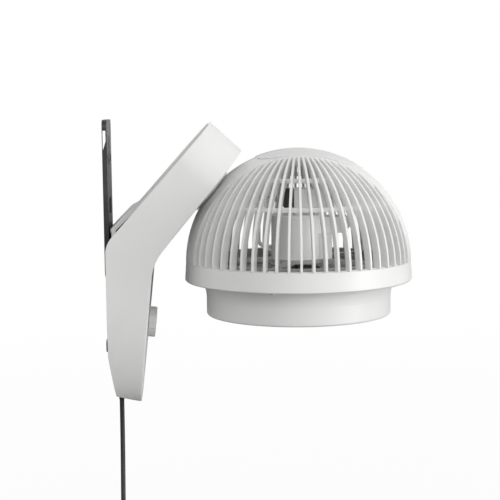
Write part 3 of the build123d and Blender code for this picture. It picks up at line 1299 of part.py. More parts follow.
TIE_T = 1.2
TIE_W = 10.0
TIE_GAP = 0.4
with BuildPart() as cord_tie:
    inner_r = COIL_IN_R + COIL_PITCH / 2 - CORD_D / 2
    low_r = math.sqrt(inner_r**2 - (TIE_W / 2) ** 2) - TIE_GAP
    high_r = COIL_OUT_R - COIL_PITCH / 2 + CORD_D / 2 + TIE_GAP
    low_x = -CORD_D / 2 - TIE_GAP
    high_x = (COIL_LAYERS - 1) * COIL_PITCH + CORD_D / 2 + TIE_GAP
    middle = COIL_CENTRE + Vector((low_x + high_x) / 2, (low_r + high_r) / 2, 0)
    with BuildSketch(Plane.XY.offset(middle.Z - TIE_W / 2)):
        with Locations((middle.X, middle.Y)):
            RectangleRounded(high_x - low_x + 2 * TIE_T, high_r - low_r + 2 * TIE_T, 2.6)
            RectangleRounded(high_x - low_x, high_r - low_r, 1.4, mode=Mode.SUBTRACT)
    extrude(amount=TIE_W)
finish(cord_tie, "cord_tie")

plug_top = coil_point(COIL_TURNS) + Vector(0, 0, -TAIL)
RELIEF_LENGTH = 16.0
with BuildPart() as plug:
    with BuildSketch(Plane(origin=plug_top)):
        Circle(3.4)
    with BuildSketch(Plane(origin=plug_top + Vector(0, 0, -RELIEF_LENGTH))):
        Circle(4.8)
    loft()
    with BuildSketch(Plane(origin=plug_top + Vector(0, 0, -RELIEF_LENGTH))):
        RectangleRounded(PLUG_T - 4, PLUG_W - 8, 3.0)
    with BuildSketch(Plane(origin=plug_top + Vector(0, 0, -RELIEF_LENGTH - PLUG_LENGTH / 2))):
        RectangleRounded(PLUG_T, PLUG_W, 4.0)
    with BuildSketch(Plane(origin=plug_top + Vector(0, 0, -RELIEF_LENGTH - PLUG_LENGTH))):
        RectangleRounded(PLUG_T, PLUG_W, 4.0)
    loft(ruled=True)
    plug_end = plug_top + Vector(0, 0, -RELIEF_LENGTH - PLUG_LENGTH)
    with BuildSketch(Plane(origin=plug_end)):
        with GridLocations(1, PIN_SPACING, 1, 2):
            Circle(PIN_R + SEAT_GAP)
    extrude(amount=8.0, mode=Mode.SUBTRACT)
finish(plug, "plug")

with BuildPart() as plug_pins:
    with BuildSketch(Plane(origin=plug_end + Vector(0, 0, -PIN_LENGTH))):
        with GridLocations(1, PIN_SPACING, 1, 2):
            Circle(PIN_R)
    extrude(amount=PIN_LENGTH + 7.5)
    fillet(plug_pins.edges().group_by(Axis.Z)[0], 1.2)
finish(plug_pins, "plug_pins")
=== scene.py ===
import json
import math

import bmesh
import bpy
import numpy as np
from mathutils import Matrix, Vector


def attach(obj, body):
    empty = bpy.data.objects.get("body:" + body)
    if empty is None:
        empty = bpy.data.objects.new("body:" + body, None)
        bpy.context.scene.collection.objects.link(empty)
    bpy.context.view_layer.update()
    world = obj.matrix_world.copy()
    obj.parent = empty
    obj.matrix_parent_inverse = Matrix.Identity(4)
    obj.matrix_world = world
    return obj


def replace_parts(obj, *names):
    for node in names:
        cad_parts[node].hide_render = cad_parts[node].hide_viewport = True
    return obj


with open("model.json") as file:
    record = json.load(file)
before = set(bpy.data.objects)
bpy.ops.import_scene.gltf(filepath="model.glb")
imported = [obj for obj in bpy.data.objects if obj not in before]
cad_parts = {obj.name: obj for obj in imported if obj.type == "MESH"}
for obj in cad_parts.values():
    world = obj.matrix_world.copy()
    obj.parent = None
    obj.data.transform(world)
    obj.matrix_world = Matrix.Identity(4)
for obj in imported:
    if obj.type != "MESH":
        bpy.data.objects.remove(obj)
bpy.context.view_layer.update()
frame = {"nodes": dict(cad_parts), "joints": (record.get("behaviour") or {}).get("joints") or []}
nodes = frame["nodes"]

# Camera. It stands a little above the fan's ball, square to the fan's side, and looks slightly
# down, as the photograph was taken.
EYE = Vector((0.0923, -1.3794, 0.0941))
YAW, PITCH, ROLL = math.radians(2.5), math.radians(6.43), math.radians(-0.65)
FOCAL_PX = 1300.0
PHOTO_PX = 500.0
SENSOR_MM = 36.0

forward = Vector(
    (math.sin(YAW) * math.cos(PITCH), math.cos(YAW) * math.cos(PITCH), -math.sin(PITCH))
)
level_right = Vector((math.cos(YAW), -math.sin(YAW), 0))
level_up = level_right.cross(forward)
right = level_right * math.cos(ROLL) + level_up * math.sin(ROLL)
up = right.cross(forward)
lens = bpy.data.cameras.new("camera")
lens.sensor_width = SENSOR_MM
lens.lens = SENSOR_MM * FOCAL_PX / PHOTO_PX
lens.clip_start, lens.clip_end = 0.05, 20.0
camera = bpy.data.objects.new("camera", lens)
bpy.context.scene.collection.objects.link(camera)
camera.matrix_world = Matrix(
    (
        (right.x, up.x, -forward.x, EYE.x),
        (right.y, up.y, -forward.y, EYE.y),
        (right.z, up.z, -forward.z, EYE.z),
        (0, 0, 0, 1),
    )
)
bpy.context.scene.camera = camera
bpy.context.scene.view_settings.view_transform = "Standard"


# Mains lead. A round black PVC two-core lead, 5 mm thick, hangs straight out of the body's
# foot beside the wall and is wound up for storage just below the picture, tied, with its plug.
def linear(hex_colour, light=1.0):
    """An sRGB colour such as "#f0f0ee" as the linear RGBA that sockets take, made lighter or darker."""
    parts = [int(hex_colour[i : i + 2], 16) / 255 for i in (1, 3, 5)]
    parts = [c / 12.92 if c <= 0.04045 else ((c + 0.055) / 1.055) ** 2.4 for c in parts]
    return [min(c * light, 1.0) for c in parts] + [1.0]


def add_node(tree, kind, settings=None, links=None):
    """Adds a node. Settings name its properties or inputs, links what goes into an input.

    A list in links is joined, in its order, to an input that takes several.
    """
    node = tree.nodes.new(kind)
    for key, value in (settings or {}).items():
        if isinstance(key, str) and hasattr(node, key):
            setattr(node, key, value)
        else:
            node.inputs[key].default_value = value
    for key, source in (links or {}).items():
        for output in source if isinstance(source, list) else [source]:
            tree.links.new(output, node.inputs[key])
    return node


def new_material(name):
    """An empty node material and its output node."""
    material = bpy.data.materials.new(name)
    material.use_nodes = True
    material.node_tree.nodes.clear()
    output = add_node(material.node_tree, "ShaderNodeOutputMaterial")
    return material, material.node_tree, output


NOISE_LOW, NOISE_HIGH = 0.3, 0.7  # most of a noise's values lie between these
PATCHES_PER_M = 22.0


def grained(
    name, colour, rough, grain_mm, relief_mm, mottle=0.03, uneven=0.06, edge_mm=0.0, run=(1, 1, 1), **own
):
    """A surface with a grain in relief, a gloss that follows the grain, and a mottled colour.

    The grain is grain_mm across and relief_mm high. A number under 1 in run draws it out along
    that axis, and one over 1 flattens it. A real grain that is too fine for the picture is drawn
    as coarse as it needs to be to show. Edges are softened over edge_mm, and own names further
    inputs of the shader.
    """
    material, tree, output = new_material(name)
    where = add_node(tree, "ShaderNodeTexCoord").outputs["Object"]
    drawn = add_node(tree, "ShaderNodeMapping", {"Scale": run}, {"Vector": where})
    grain = add_node(
        tree,
        "ShaderNodeTexNoise",
        {"Scale": 1000 / grain_mm, "Detail": 2.0},
        {"Vector": drawn.outputs[0]},
    )
    patches = add_node(
        tree, "ShaderNodeTexNoise", {"Scale": PATCHES_PER_M, "Detail": 4.0}, {"Vector": where}
    )
    tone = add_node(tree, "ShaderNodeValToRGB", {}, {"Fac": patches.outputs["Fac"]})
    ends = zip(tone.color_ramp.elements, (NOISE_LOW, NOISE_HIGH), (1 - mottle, 1 + mottle))
    for stop, at, light in ends:
        stop.position = at
        stop.color = linear(colour, light)
    gloss = add_node(
        tree,
        "ShaderNodeMapRange",
        {
            "From Min": NOISE_LOW,
            "From Max": NOISE_HIGH,
            "To Min": rough - uneven / 2,
            "To Max": rough + uneven / 2,
        },
        {"Value": grain.outputs["Fac"]},
    )
    relief = add_node(
        tree,
        "ShaderNodeBump",
        {"Strength": 1.0, "Distance": relief_mm / 1000},
        {"Height": grain.outputs["Fac"]},
    )
    if edge_mm:
        edge = add_node(tree, "ShaderNodeBevel", {"samples": 6, "Radius": edge_mm / 1000})
        tree.links.new(edge.outputs[0], relief.inputs["Normal"])
    shader = add_node(
        tree,
        "ShaderNodeBsdfPrincipled",
        {key.replace("_", " "): value for key, value in own.items()},
        {"Base Color": tone.outputs[0], "Roughness": gloss.outputs[0], "Normal": relief.outputs[0]},
    )
    tree.links.new(shader.outputs[0], output.inputs["Surface"])
    return material


def dress(material, *names):
    """Gives CAD nodes their material."""
    for name in names:
        nodes[name].data.materials.clear()
        nodes[name].data.materials.append(material)


def place(name, mesh, body):
    """Puts a finished mesh into the scene as a piece that rides on a body."""
    piece = bpy.data.objects.new(name, mesh)
    bpy.context.scene.collection.objects.link(piece)
    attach(piece, body)
    return piece


# Extruded soft PVC: a dull sheen with a faintly uneven gloss.
lead_pvc = grained("pvc_lead_extruded", "#1d1d1e", 0.46, 3.0, 0.02, mottle=0.12, uneven=0.14)
CORD_D = 0.005
CORD_X = 0.0126  # out from the wall
COIL_MID_R, COIL_PITCH = 0.027, 0.0055
TURNS_PER_LAYER, LAYERS = 2, 4
COIL_STEPS = 20  # points to a turn
CLIMB = 0.5  # of a turn, in which the winding goes over to its next layer
TAIL = 0.024
lead_points = [
    Vector((CORD_X, 0.0, -0.2215)),
    Vector((CORD_X, 0.0, -0.247)),
    Vector((CORD_X, -0.007, -0.291)),
    Vector((CORD_X, -0.0184, -0.336)),
    Vector((CORD_X, -0.0184, -0.378)),
]
coil_out_r = COIL_MID_R + TURNS_PER_LAYER * COIL_PITCH / 2
coil_centre = lead_points[-1] + Vector((0, coil_out_r, 0))
# The points stand a little outside the turns, because the curve passes inside its points.
stretch = 1 / math.cos(math.pi / COIL_STEPS)
for index in range(1, TURNS_PER_LAYER * LAYERS * COIL_STEPS + 1):
    turns = index / COIL_STEPS
    phase = turns % (2 * TURNS_PER_LAYER)
    radius = (coil_out_r - COIL_PITCH * min(phase, 2 * TURNS_PER_LAYER - phase)) * stretch
    layer = 0.0
    for reversal in range(1, LAYERS):
        progress = min(max((turns - reversal * TURNS_PER_LAYER + CLIMB / 2) / CLIMB, 0.0), 1.0)
        layer += progress * progress * (3 - 2 * progress)
    angle = 2 * math.pi * turns
    lead_points.append(
        coil_centre + Vector((layer * COIL_PITCH, -radius * math.cos(angle), -radius * math.sin(angle)))
    )
# The winding ends on the turn itself, and the lead's tail leaves it straight down to the plug.
lead_points[-1] = lead_points[-1] + Vector((0, (stretch - 1) * coil_out_r, 0))
lead_points.append(lead_points[-1] + Vector((0, 0, -TAIL / 2)))
lead_points.append(lead_points[-2] + Vector((0, 0, -TAIL)))
lead_curve = bpy.data.curves.new("mains_lead", "CURVE")
lead_curve.dimensions = "3D"
line = lead_curve.splines.new("NURBS")
line.points.add(len(lead_points) - 1)
for point, spot in zip(line.points, lead_points):
    point.co = (*spot, 1.0)
line.order_u = 3
line.use_endpoint_u = True
lead_curve.resolution_u = 8
lead_curve.bevel_depth = CORD_D / 2
lead_curve.bevel_resolution = 5
lead_curve.use_fill_caps = True
lead_curve.materials.append(lead_pvc)
mains_lead = place("mains_lead", lead_curve, "wall_body")
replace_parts(mains_lead, "power_cord", "cord_coil")

# Plug and tie. The plug is moulded over its two pins in the same kind of PVC, with a coarser
# matt skin from its mould, and the tie is a cut strip of it. The pins are nickel-plated brass,
# bright, with faint marks along them from drawing.
plug_pvc = grained("pvc_plug_moulded", "#202021", 0.55, 1.4, 0.03, mottle=0.08, edge_mm=0.8)
tie_pvc = grained("pvc_tie_strip", "#161617", 0.5, 2.0, 0.02, mottle=0.1)
pin_nickel = grained(
    "brass_pin_nickel_plated", "#c9c6be", 0.22, 1.2, 0.004, mottle=0.04, run=(1, 1, 0.1), Metallic=1.0
)
dress(plug_pvc, "plug")
dress(tie_pvc, "cord_tie")
dress(pin_nickel, "plug_pins")

# Strain relief. One turned form of soft moulded PVC, gripped by its flange inside the body's
# foot; its tapering tail is grooved so that it bends with the lead.
RELIEF_TOP, FLANGE_TOP, FLANGE_LOW, RELIEF_END = -0.1898, -0.2072, -0.2092, -0.2215
RELIEF_R, FLANGE_R, TAIL_TOP_R, TAIL_END_R = 0.0048, 0.0056, 0.0036, 0.0029
FLANGE_SLOPE = 0.002
GROOVE_START, GROOVES, GROOVE_DEPTH = -0.2105, 5, 0.0005
# Along one pitch of the tail: how far down it, and how much of the groove's depth is cut there.
GROOVE_SHAPE = ((0.0, 0.0), (0.58, 0.0), (0.66, 1.0), (0.88, 1.0))
RELIEF_STEPS = 48
WELD = 1e-6  # points nearer to each other than this are one
relief_profile = [
    (0.0, RELIEF_TOP),
    (RELIEF_R, RELIEF_TOP),
    (RELIEF_R, FLANGE_TOP + FLANGE_SLOPE),
    (FLANGE_R, FLANGE_TOP),
    (FLANGE_R, FLANGE_LOW),
    (TAIL_TOP_R, FLANGE_LOW),
]
groove_pitch = (GROOVE_START - RELIEF_END) / GROOVES
for index in range(GROOVES):
    for share, sunk in GROOVE_SHAPE:
        level = GROOVE_START - (index + share) * groove_pitch
        taper = (FLANGE_LOW - level) / (FLANGE_LOW - RELIEF_END)
        outside = TAIL_TOP_R + (TAIL_END_R - TAIL_TOP_R) * taper
        relief_profile.append((outside - sunk * GROOVE_DEPTH, level))
relief_profile += [(TAIL_END_R - GROOVE_DEPTH / 2, RELIEF_END), (0.0, RELIEF_END)]
form = bmesh.new()
spine = [form.verts.new((CORD_X + radius, 0, level)) for radius, level in relief_profile]
rim = [form.edges.new(pair) for pair in zip(spine, spine[1:])]
bmesh.ops.spin(
    form,
    geom=spine + rim,
    cent=(CORD_X, 0, 0),
    axis=(0, 0, 1),
    angle=2 * math.pi,
    steps=RELIEF_STEPS,
    use_duplicate=False,
)
bmesh.ops.remove_doubles(form, verts=form.verts, dist=WELD)
bmesh.ops.recalc_face_normals(form, faces=form.faces)
relief_mesh = bpy.data.meshes.new("strain_relief")
form.to_mesh(relief_mesh)
form.free()
relief_mesh.materials.append(plug_pvc)
strain_relief = place("strain_relief", relief_mesh, "wall_body")
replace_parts(strain_relief, "cord_gland")

# Wall plate and hanger. Folded from zinc-coated steel sheet and left bare; their grey is darkened with
# painted shade, and the strong streaky mottle mixes zinc spangle with painted reflection. The hanger is
# held to the rear cover by four screws.
# Painted shade: the base grey is set far darker than bare zinc, so the plate looks as if it lies in deep
# shade.
plate_zinc_painted_shade = grained(
    "steel_sheet_galvanised_painted_shade", "#444547", 0.42, 7.0, 0.03,
    mottle=0.35, uneven=0.24, edge_mm=0.5, run=(1, 1, 0.15), Metallic=1.0,
)
dress(plate_zinc_painted_shade, "wall_plate", "hanger_bracket")
# Zinc plate on a rolled screw: bright and faintly speckled.
screw_zinc = grained("steel_screw_zinc_plated", "#b4b5b4", 0.3, 0.8, 0.004, mottle=0.08, Metallic=1.0)


def pan_head_tree():
    """Node tree that sets a domed screw with a cross recess on each seat, facing its way.

    Its sizes are in millimetres, and the whole screw is brought down to metres at the end.
    """
    tree = bpy.data.node_groups.new("pan_head_screws", "GeometryNodeTree")
    tree.interface.new_socket("Geometry", in_out="INPUT", socket_type="NodeSocketGeometry")
    for label in ("Head Radius", "Head Height", "Recess Width", "Shank Radius", "Shank Length"):
        tree.interface.new_socket(label, in_out="INPUT", socket_type="NodeSocketFloat")
    tree.interface.new_socket("Material", in_out="INPUT", socket_type="NodeSocketMaterial")
    tree.interface.new_socket("Geometry", in_out="OUTPUT", socket_type="NodeSocketGeometry")
    given = add_node(tree, "NodeGroupInput").outputs
    size = {socket.name: socket for socket in given}
    # The head is what a disc and a ball share: a dome that drops 0.4 of the head's height at its
    # rim. The shank reaches 0.2 of that height into the head, and the recess is a cross of two
    # wings, each 0.24 as wide as it is long, cut down to half the head's height.
    for result, operation, first, second in (
        ("Drop", "MULTIPLY", "Head Height", 0.4),
        ("Radius Squared", "MULTIPLY", "Head Radius", "Head Radius"),
        ("Drop Squared", "MULTIPLY", "Drop", "Drop"),
        ("Both Squares", "ADD", "Radius Squared", "Drop Squared"),
        ("Two Drops", "MULTIPLY", "Drop", 2.0),
        ("Dome Radius", "DIVIDE", "Both Squares", "Two Drops"),
        ("Dome Level", "SUBTRACT", "Head Height", "Dome Radius"),
        ("Disc Level", "MULTIPLY", "Head Height", 0.5),
        ("Shank Top", "MULTIPLY", "Head Height", 0.2),
        ("Whole Shank", "ADD", "Shank Length", "Shank Top"),
        ("Half Shank", "MULTIPLY", "Whole Shank", 0.5),
        ("Shank Level", "SUBTRACT", "Shank Top", "Half Shank"),
        ("Wing Width", "MULTIPLY", "Recess Width", 0.24),
    ):
        terms = dict(enumerate((first, second)))
        numbers = {index: term for index, term in terms.items() if not isinstance(term, str)}
        named = {index: size[term] for index, term in terms.items() if isinstance(term, str)}
        node = add_node(tree, "ShaderNodeMath", {"operation": operation, **numbers}, named)
        size[result] = node.outputs[0]
    disc = add_node(
        tree,
        "GeometryNodeMeshCylinder",
        {"Vertices": 40},
        {"Radius": size["Head Radius"], "Depth": size["Head Height"]},
    )
    ball = add_node(
        tree, "GeometryNodeMeshUVSphere", {"Segments": 48, "Rings": 32}, {"Radius": size["Dome Radius"]}
    )
    shank = add_node(
        tree,
        "GeometryNodeMeshCylinder",
        {"Vertices": 24},
        {"Radius": size["Shank Radius"], "Depth": size["Whole Shank"]},
    )
    wings = []
    for along, across in (("X", "Y"), ("Y", "X")):
        sides = {along: size["Recess Width"], across: size["Wing Width"], "Z": size["Head Height"]}
        block = add_node(tree, "ShaderNodeCombineXYZ", {}, sides)
        wings.append(add_node(tree, "GeometryNodeMeshCube", {}, {"Size": block.outputs[0]}))
    levels = ("Disc Level", "Dome Level", "Shank Level", "Head Height", "Head Height")
    raised = []
    for form, level in zip((disc, ball, shank, *wings), levels):
        lift = add_node(tree, "ShaderNodeCombineXYZ", {}, {"Z": size[level]})
        moved = {"Geometry": form.outputs["Mesh"], "Translation": lift.outputs[0]}
        raised.append(add_node(tree, "GeometryNodeTransform", {}, moved).outputs[0])
    disc, ball, shank, *wings = raised
    dome = add_node(
        tree, "GeometryNodeMeshBoolean", {"operation": "INTERSECT"}, {"Mesh 2": [disc, ball]}
    )
    blank = add_node(
        tree,
        "GeometryNodeMeshBoolean",
        {"operation": "UNION"},
        {"Mesh 2": [dome.outputs["Mesh"], shank]},
    )
    cross = add_node(tree, "GeometryNodeMeshBoolean", {"operation": "UNION"}, {"Mesh 2": wings})
    screw = add_node(
        tree,
        "GeometryNodeMeshBoolean",
        {"operation": "DIFFERENCE"},
        {"Mesh 1": blank.outputs["Mesh"], "Mesh 2": cross.outputs["Mesh"]},
    )
    screw = add_node(
        tree,
        "GeometryNodeTransform",
        {"Scale": (0.001, 0.001, 0.001)},
        {"Geometry": screw.outputs["Mesh"]},
    )
    # Each screw stands along its seat's facing, driven home to an angle of its own.
    facing = add_node(
        tree, "GeometryNodeInputNamedAttribute", {"data_type": "FLOAT_VECTOR", "Name": "facing"}
    )
    stand = add_node(
        tree, "FunctionNodeAlignRotationToVector", {"axis": "Z"}, {"Vector": facing.outputs[0]}
    )
    chance = add_node(tree, "FunctionNodeRandomValue", {"data_type": "FLOAT", "Seed": 7})
    driven = add_node(
        tree,
        "ShaderNodeMath",
        {"operation": "MULTIPLY", 1: math.pi / 2},
        {0: chance.outputs["Value"]},
    )
    spin = add_node(
        tree, "FunctionNodeAxisAngleToRotation", {"Axis": (0, 0, 1)}, {"Angle": driven.outputs[0]}
    )
    stand = add_node(
        tree,
        "FunctionNodeRotateRotation",
        {"rotation_space": "LOCAL"},
        {"Rotation": stand.outputs[0], "Rotate By": spin.outputs[0]},
    )
    copies = add_node(
        tree,
        "GeometryNodeInstanceOnPoints",
        {},
        {"Points": given["Geometry"], "Instance": screw.outputs[0], "Rotation": stand.outputs[0]},
    )
    solid = add_node(tree, "GeometryNodeRealizeInstances", {}, {"Geometry": copies.outputs[0]})
    done = add_node(
        tree,
        "GeometryNodeSetMaterial",
        {},
        {"Geometry": solid.outputs[0], "Material": given["Material"]},
    )
    add_node(tree, "NodeGroupOutput", {}, {"Geometry": done.outputs[0]})
    return tree


def plain_mesh(holder):
    """An object's finished form as a plain mesh. The object itself goes."""
    bpy.context.scene.collection.objects.link(holder)
    finished = holder.evaluated_get(bpy.context.evaluated_depsgraph_get())
    mesh = bpy.data.meshes.new_from_object(finished)
    bpy.data.objects.remove(holder)
    return mesh


def grow(seats, tree, inputs):
    """Runs a repeat's node tree on its seats and gives the result as a plain mesh."""
    holder = bpy.data.objects.new("holder", seats)
    repeat = holder.modifiers.new("repeat", "NODES")
    repeat.node_group = tree
    for item in tree.interface.items_tree:
        if item.item_type == "SOCKET" and item.in_out == "INPUT" and item.name in inputs:
            repeat[item.identifier] = inputs[item.name]
    return plain_mesh(holder)


def screw_seats(node, head_height):
    """Where the screws of a CAD node sit: the middle of each head's underside, and its facing."""
    copy = bmesh.new()
    copy.from_mesh(nodes[node].data)
    bmesh.ops.remove_doubles(copy, verts=copy.verts, dist=WELD)
    met = set()
    seats, ways = [], []
    for start in copy.verts:
        if start in met:
            continue
        met.add(start)
        one_screw = [start]
        for vertex in one_screw:  # the list grows as it is walked, until the screw is whole
            for edge in vertex.link_edges:
                other = edge.other_vert(vertex)
                if other not in met:
                    met.add(other)
                    one_screw.append(other)
        spots = np.array([vertex.co for vertex in one_screw])
        centre = spots.mean(0)
        middle = (spots.max(0) + spots.min(0)) / 2
        axis = np.linalg.svd(spots - centre, full_matrices=False)[2][0]
        along = (spots - middle) @ axis
        width = np.linalg.norm(spots - middle - np.outer(along, axis), axis=1)
        if along[width.argmax()] < 0:  # the widest place is the head, at the outer end
            axis, along = -axis, -along
        head_top = centre + axis * (along.max() - (centre - middle) @ axis)
        seats.append(tuple(head_top - axis * head_height))
        ways.append(axis)
    copy.free()
    mesh = bpy.data.meshes.new("seats")
    mesh.from_pydata(seats, [], [])
    facing = mesh.attributes.new("facing", "FLOAT_VECTOR", "POINT")
    facing.data.foreach_set("vector", np.array(ways, np.float32).ravel())
    return mesh


def set_screws(name, node, body, **millimetres):
    """Sets domed screws where a CAD node's plain ones are, and hides those."""
    sizes = {key.replace("_", " ").title(): value for key, value in millimetres.items()}
    seats = screw_seats(node, sizes["Head Height"] / 1000)
    mesh = grow(seats, pan_heads, {**sizes, "Material": screw_zinc})
    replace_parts(place(name, mesh, body), node)


pan_heads = pan_head_tree()
set_screws(
    "hanger_pan_screws",
    "hanger_screws",
    "wall_body",
    head_radius=3.6,
    head_height=1.8,
    recess_width=3.6,
    shank_radius=2.0,
    shank_length=11.0,
)

# Housing and rear cover. Injection-moulded white ABS with a fine satin skin; the cover is the
# same plastic greyed with painted shade, closed by eight screws, and stands off the wall on two rubber
# feet.
# Painted shade: the cover's white is dulled to a light grey, the way the cover looks where it lies in
# shade.
cover_abs_painted_shade = grained("abs_cover_painted_shade", "#cfcfcd", 0.5, 1.6, 0.012, mottle=0.02, edge_mm=0.5)
# The white skin's grain is drawn ten times coarser than the real 0.15 mm, so that it shows as
# satin. Light enters the plastic by a few millimetres, which softens the shade on thin slats.
white_abs = grained(
    "abs_white_moulded", "#eeeeed", 0.42, 1.6, 0.008, mottle=0.012, edge_mm=0.7,
    Subsurface_Weight=0.35, Subsurface_Radius=(1.0, 1.0, 0.98), Subsurface_Scale=0.004,
)
# Moulded rubber: matt, dark grey, a little dusty.
foot_rubber = grained("rubber_feet_moulded", "#3a3a3a", 0.8, 1.5, 0.04, mottle=0.15)
dress(white_abs, "housing")
dress(cover_abs_painted_shade, "rear_cover")
dress(foot_rubber, "rubber_feet")
# All the screws in plastic are of one size, and differ in length.
plastic_screw = dict(head_radius=3.0, head_height=2.0, recess_width=3.2, shank_radius=1.5)
set_screws("cover_pan_screws", "cover_screws", "wall_body", shank_length=13.0, **plastic_screw)

# Controls. A polished dark acrylic panel with five clear lights lies in the front; under it a
# light grey moulded knob turns over four printed marks with their numbers.
panel_acrylic = grained("acrylic_panel_polished", "#2c2d2f", 0.08, 6.0, 0.002, mottle=0.05, uneven=0.03)
# Clear polycarbonate, glossy, with a faint green from the lamps behind.
light_lens = grained(
    "polycarbonate_lens_clear", "#b9d8c2", 0.16, 2.0, 0.004, mottle=0.05, Transmission_Weight=0.35
)
# Green solder mask over copper tracks: a satin skin with slightly raised runs.
board_mask = grained("fr4_board_solder_mask", "#1f5a36", 0.35, 2.4, 0.05, mottle=0.25, run=(1, 0.2, 1))
# Glass-filled black PBT, as switches and terminal blocks are moulded: hard, satin, mottled.
black_pbt = grained("pbt_black_moulded", "#262627", 0.4, 1.8, 0.01, mottle=0.12, edge_mm=0.3)
knob_abs = grained("abs_knob_moulded", "#d9d9d7", 0.38, 1.5, 0.008, mottle=0.015, edge_mm=0.4)
dress(panel_acrylic, "display_panel")
dress(light_lens, "indicator_lights")
dress(board_mask, "control_board")
dress(black_pbt, "rotary_switch", "terminal_block")
dress(knob_abs, "knob")
dress(screw_zinc, "switch_shaft")
# Printed in grey on the front, 0.05 mm of matt ink: the knob's marks at its four settings.
mark_ink = grained("ink_marks_pad_printed", "#8b8c8e", 0.6, 1.0, 0.004, mottle=0.06)
MARK_R, MARK_WIDE, MARK_LONG = 0.0192, 0.0007, 0.0028
NUMBER_R, NUMBER_TALL = 0.0238, 0.0052
INK = 0.00005
SETTINGS = 4
knob_turn = next(joint for joint in frame["joints"] if joint["name"] == "knob_turn")
knob_spot = Vector(knob_turn["pos_m"])
setting_angle = math.radians(knob_turn["range_deg"][1] / (SETTINGS - 1))
outward = -Vector(knob_turn["axis"])  # the knob turns clockwise, seen from the room
across = Vector((0, 1, 0))
upward = outward.cross(across)
face_frame = Matrix((across, upward, outward)).transposed().to_4x4()
face_frame.translation = knob_spot
ink_form = bmesh.new()
for setting in range(SETTINGS):
    turn = Matrix.Rotation(-setting_angle * setting, 4, "Z")
    bar = bmesh.ops.create_cube(ink_form, size=1.0)["verts"]
    bar_size = Matrix.Diagonal((MARK_WIDE, MARK_LONG, 2 * INK, 1))
    bmesh.ops.transform(
        ink_form, verts=bar, matrix=turn @ Matrix.Translation((0, MARK_R, 0)) @ bar_size
    )
    number = bpy.data.curves.new("number", "FONT")
    number.body = str(setting)
    number.size = NUMBER_TALL
    number.align_x, number.align_y = "CENTER", "CENTER"
    number.extrude = INK
    figure = plain_mesh(bpy.data.objects.new("number", number))
    figure.transform(Matrix.Translation(turn @ Vector((0, NUMBER_R, 0))))
    ink_form.from_mesh(figure)
bmesh.ops.transform(ink_form, verts=ink_form.verts, matrix=face_frame)
bmesh.ops.remove_doubles(ink_form, verts=ink_form.verts, dist=WELD)
ink_form.normal_update()
bmesh.ops.recalc_face_normals(ink_form, faces=ink_form.faces)
ink_mesh = bpy.data.meshes.new("knob_marks")
ink_form.to_mesh(ink_mesh)
ink_form.free()
ink_mesh.materials.append(mark_ink)
place("knob_marks", ink_mesh, "wall_body")

# Neck and swing motor. The white moulded disc between ball and arm turns in a bush of natural
# nylon, a waxy warm white, and is swung by a small geared motor in a pressed sheet steel can;
# the ball slides on a nylon shoe held by a bolt and a spring washer.
nylon = grained("nylon_moulded_natural", "#d8d2c0", 0.4, 1.6, 0.006, mottle=0.03)
# Pressed sheet: grey and half bright, with soft drawn edges.
motor_can = grained(
    "steel_can_pressed", "#a3a4a3", 0.36, 3.0, 0.01, mottle=0.08, edge_mm=0.5, Metallic=1.0
)
# Ground shafts: the noise is flattened into fine level rings, as grinding leaves them.
ground_steel = grained(
    "steel_shaft_ground", "#b9b9b7", 0.2, 0.9, 0.003, mottle=0.04, run=(1, 1, 6), Metallic=1.0
)
dress(white_abs, "neck_disc")
dress(nylon, "slide_shoe", "pan_bush", "pan_clip")
dress(motor_can, "swing_motor")
dress(ground_steel, "swing_shaft", "spring_washer", "tilt_bolt")
dress(screw_zinc, "swing_motor_screws")

# Ball head. The slatted half ball with its solid belt, the raised cap on the belt, the ring,
# the barrel and the outlet grille are white ABS mouldings; five screws hold ring and ball.
dress(white_abs, "rear_grille", "belt_cap", "ring_frame", "barrel", "front_grille")
set_screws("guard_pan_screws", "guard_screws", "head", shank_length=10.0, **plastic_screw)

# Fan motor. A white painted can stands on a grey moulded spider, darkened with painted shade, with
# the white capacitor case and driver box on it, a black plug-in connector and its lead; inside are
# laminations and coils. The spider's skin is coarser and more matt than the white skin outside.
# Painted shade: the spider's grey is deepened so that the space under the motor looks dark.
spider_grey_painted_shade = grained("abs_frame_grey_painted_shade", "#b2b2af", 0.5, 1.8, 0.012, mottle=0.03, edge_mm=0.4)
# The motor's lead has a white PVC sleeve, slightly glossy.
lead_white = grained("pvc_sleeve_white", "#e6e6e4", 0.4, 2.0, 0.01, mottle=0.03)
# Sprayed paint: smooth and satin, with a long shallow orange peel.
can_paint = grained("steel_can_painted_white", "#ecece9", 0.38, 4.0, 0.02, mottle=0.012, edge_mm=0.5)
# Bearing rings: hardened steel, ground bright.
bearing_steel = grained("steel_bearing_ground", "#bdbdbc", 0.18, 0.9, 0.002, mottle=0.03, Metallic=1.0)
# A stack of punched sheets: the noise is flattened into thin level layers.
core_sheets = grained(
    "steel_laminations_punched", "#7c7c7d", 0.48, 4.0, 0.08, mottle=0.2, run=(0.1, 0.1, 5), Metallic=1.0
)
# Enamelled wire: warm, glossy, with the ridges of its windings lying level.
wire_enamel = grained(
    "copper_wire_enamelled", "#b4703a", 0.3, 2.0, 0.2, mottle=0.12, run=(0.3, 0.3, 1), Metallic=1.0
)
dress(spider_grey_painted_shade, "motor_spider")
dress(can_paint, "motor_housing")
dress(white_abs, "junction_box", "driver_box")
dress(bearing_steel, "lower_bearing", "upper_bearing")
dress(core_sheets, "stator_core")
dress(wire_enamel, "stator_coils")
dress(black_pbt, "wire_connector")
dress(lead_white, "motor_lead")
set_screws("spider_pan_screws", "spider_screws", "head", shank_length=7.5, **plastic_screw)

